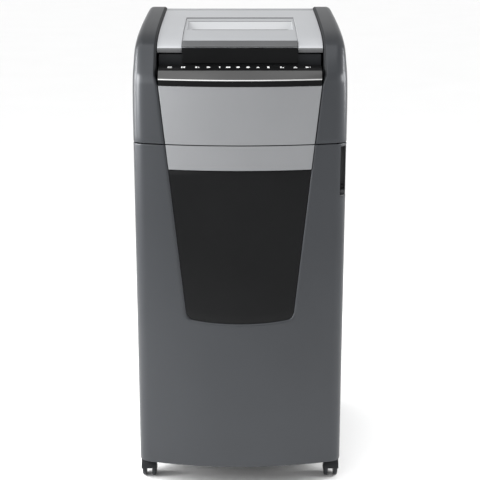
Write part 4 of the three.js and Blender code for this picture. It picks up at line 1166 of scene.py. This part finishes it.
def build_hood(where, x, y):
    """The swivelling part of a caster: a fender over both wheels, a block, a web and a stem."""
    way = 1 if y > 0 else -1  # the front wheels lead their stems
    yc, r, half = y + way * TRAIL, WHEEL_RADIUS, 17.5
    arc = [math.radians(lerp(9, 171, k / 40)) for k in range(41)]
    arch = [(yc + 26 * math.cos(a), r + 26 * math.sin(a)) for a in arc]
    fender = prism(arch, x - half, x + half, "x")
    y0, y1 = sorted((y - way * 12, y + way * 26))
    fender = combine(fender, block(x - half, x + half, y0, y1, 38, 55), "UNION")
    fender = combine(fender, rod(23.2, x - 20, x + 20, "x", (0, yc, r), 0.1, 64))
    fender = round_edges(fender, 0.9, 3, 40)
    web = rod(20, x - 6.2, x + 6.2, "x", (0, yc, r), 0.6, 64)
    web = combine(web, block(x - 9, x + 9, yc - 30, yc + 30, -5, 27))
    neck_y0, neck_y1 = sorted((y - way * 8, yc))
    neck = round_edges(block(x - 6.2, x + 6.2, neck_y0, neck_y1, 26, 46), 0.6)
    axle = rod(2, x - 16.5, x + 16.5, "x", (0, yc, r), 0.4, 28)
    stem = rod(5, 50, 82, "z", (x, y, 0), 1, 32)
    hood = join(fender, round_edges(web, 0.5, 2, 40), neck, axle, stem)
    node = f"caster_{where}_hood"
    finishes = [matt_black, steel]
    piece(smooth(hood, 40), f"{node}_moulded", f"caster_{where}", finishes, node)
    paint(hood, lambda c, n: int(math.hypot(c.y - yc, c.z - r) < 2.1))


BELT_END = PULLEY_ENDS[0] - 0.5  # the shafts with a pulley end just past it
build_cutter("cutter_shaft_front", "cutter_front", CUTTER_FRONT_Y, -DISC_PITCH / 4, BELT_END)
build_cutter("cutter_shaft_rear", "cutter_rear", CUTTER_REAR_Y, DISC_PITCH / 4, -131)
build_roller("feed_roller_front", "feed_front", ROLLER_FRONT_Y, BELT_END)
build_roller("feed_roller_rear", "feed_rear", ROLLER_REAR_Y, -146)
build_motor()
rail = rod(5, -177, 177, "x", (0, *LID_HINGE), 0.6)
piece(smooth(rail, 40), "lid_hinge_rail", "cabinet", steel, "lid_hinge_rod")
for place, (cx, cy) in CASTERS.items():
    build_hood(place, cx, cy)
    build_wheel(place, cx, cy, "a")
    build_wheel(place, cx, cy, "b")

finish_cad_pieces([
    ("cutter_gear_front", "cutter_front", steel, "plated_steel", 0.3),
    ("cutter_gear_rear", "cutter_rear", steel, "plated_steel", 0.3),
    ("drive_gear", "drive", nylon, "nylon", 0.3),
    ("motor_pinion", "motor_rotor", steel, "plated_steel", 0.25),
    ("feed_gear_front", "feed_front", nylon, "nylon", 0.25),
    ("feed_gear_rear", "feed_rear", nylon, "nylon", 0.25),
    ("feed_belt", "cabinet", rubber, "black_rubber", 0.3),
    ("fan_rotor", "fan", matt_black, "black_plastic", 0.4),
])


# ---------- the floor, the light and the camera ----------


def build_floor():
    half, steps = 40000, 40
    line = [lerp(-half, half, k / steps) for k in range(steps + 1)]
    floor = Skin().grid([[(x, y, -0.3) for x in line] for y in line]).build()
    floor.name = "studio_floor"
    floor.data.materials.append(
        material(
            "pale_floor", grey(0.86, 0.0), grey(0.88, 0.0), 0.8, 0.05, cloud=2, grain=60,
            bump=0.0, specular=0.2,
        )
    )


def soft_sun(name, azimuth, elevation, spread, strength):
    """Light from a wide, far softbox: azimuth is turned from the front towards the right."""
    data = bpy.data.lights.new(name, "SUN")
    data.angle, data.energy = math.radians(spread), strength
    lamp = bpy.data.objects.new(name, data)
    a, e = math.radians(azimuth), math.radians(elevation)
    towards = Vector((math.sin(a) * math.cos(e), -math.cos(a) * math.cos(e), math.sin(e)))
    lamp.rotation_euler = towards.to_track_quat("Z", "Y").to_euler()
    bpy.context.scene.collection.objects.link(lamp)


def side_panel(name, place, target, size, power):
    data = bpy.data.lights.new(name, "AREA")
    data.shape, data.size, data.size_y, data.energy = "RECTANGLE", size[0], size[1], power
    lamp = bpy.data.objects.new(name, data)
    lamp.location = place
    lamp.rotation_euler = (Vector(target) - Vector(place)).to_track_quat("-Z", "Y").to_euler()
    bpy.context.scene.collection.objects.link(lamp)


def build_world():
    """A pale surround that is brightest at the horizon."""
    world = bpy.data.worlds.new("studio")
    world.use_nodes = True
    tree = world.node_tree
    where = tree.nodes.new("ShaderNodeTexCoord")
    parts = tree.nodes.new("ShaderNodeSeparateXYZ")
    ramp = tree.nodes.new("ShaderNodeValToRGB")
    low, high = ramp.color_ramp.elements
    low.position, low.color = 0.05, (1, 1, 1, 1)
    high.position, high.color = 0.35, (0.36, 0.36, 0.36, 1)
    tree.links.new(where.outputs["Generated"], parts.inputs["Vector"])
    tree.links.new(parts.outputs["Z"], ramp.inputs["Fac"])
    tree.links.new(ramp.outputs["Color"], tree.nodes["Background"].inputs["Color"])
    bpy.context.scene.world = world


build_floor()
soft_sun("left_softbox", -64, 42, 110, 2.7)
soft_sun("right_softbox", 72, 46, 110, 0.75)
side_panel("left_panel_light", (-1.7, -0.75, 1.25), (-0.2, -0.1, 0.9), (0.6, 1.3), 46)
side_panel("right_panel_light", (1.6, -0.55, 1.35), (0.2, -0.1, 1.0), (0.5, 0.8), 14)
side_panel("left_rim_light", (-1.8, 0.1, 1.25), (-0.2, -0.2, 0.95), (0.3, 1.5), 32)
side_panel("right_rim_light", (1.8, 0.1, 1.3), (0.2, -0.2, 0.95), (0.25, 1.3), 22)
build_world()
bpy.context.scene.view_settings.view_transform = "Standard"

camera = bpy.data.cameras.new("studio_camera")
camera.lens, camera.sensor_width, camera.clip_end = 91.1, 36, 90
viewer = bpy.data.objects.new("studio_camera", camera)
viewer.location = (0, -2.812, 1.274)
viewer.rotation_euler = (math.radians(90 - 15), 0, 0)
bpy.context.scene.collection.objects.link(viewer)
bpy.context.scene.camera = viewer
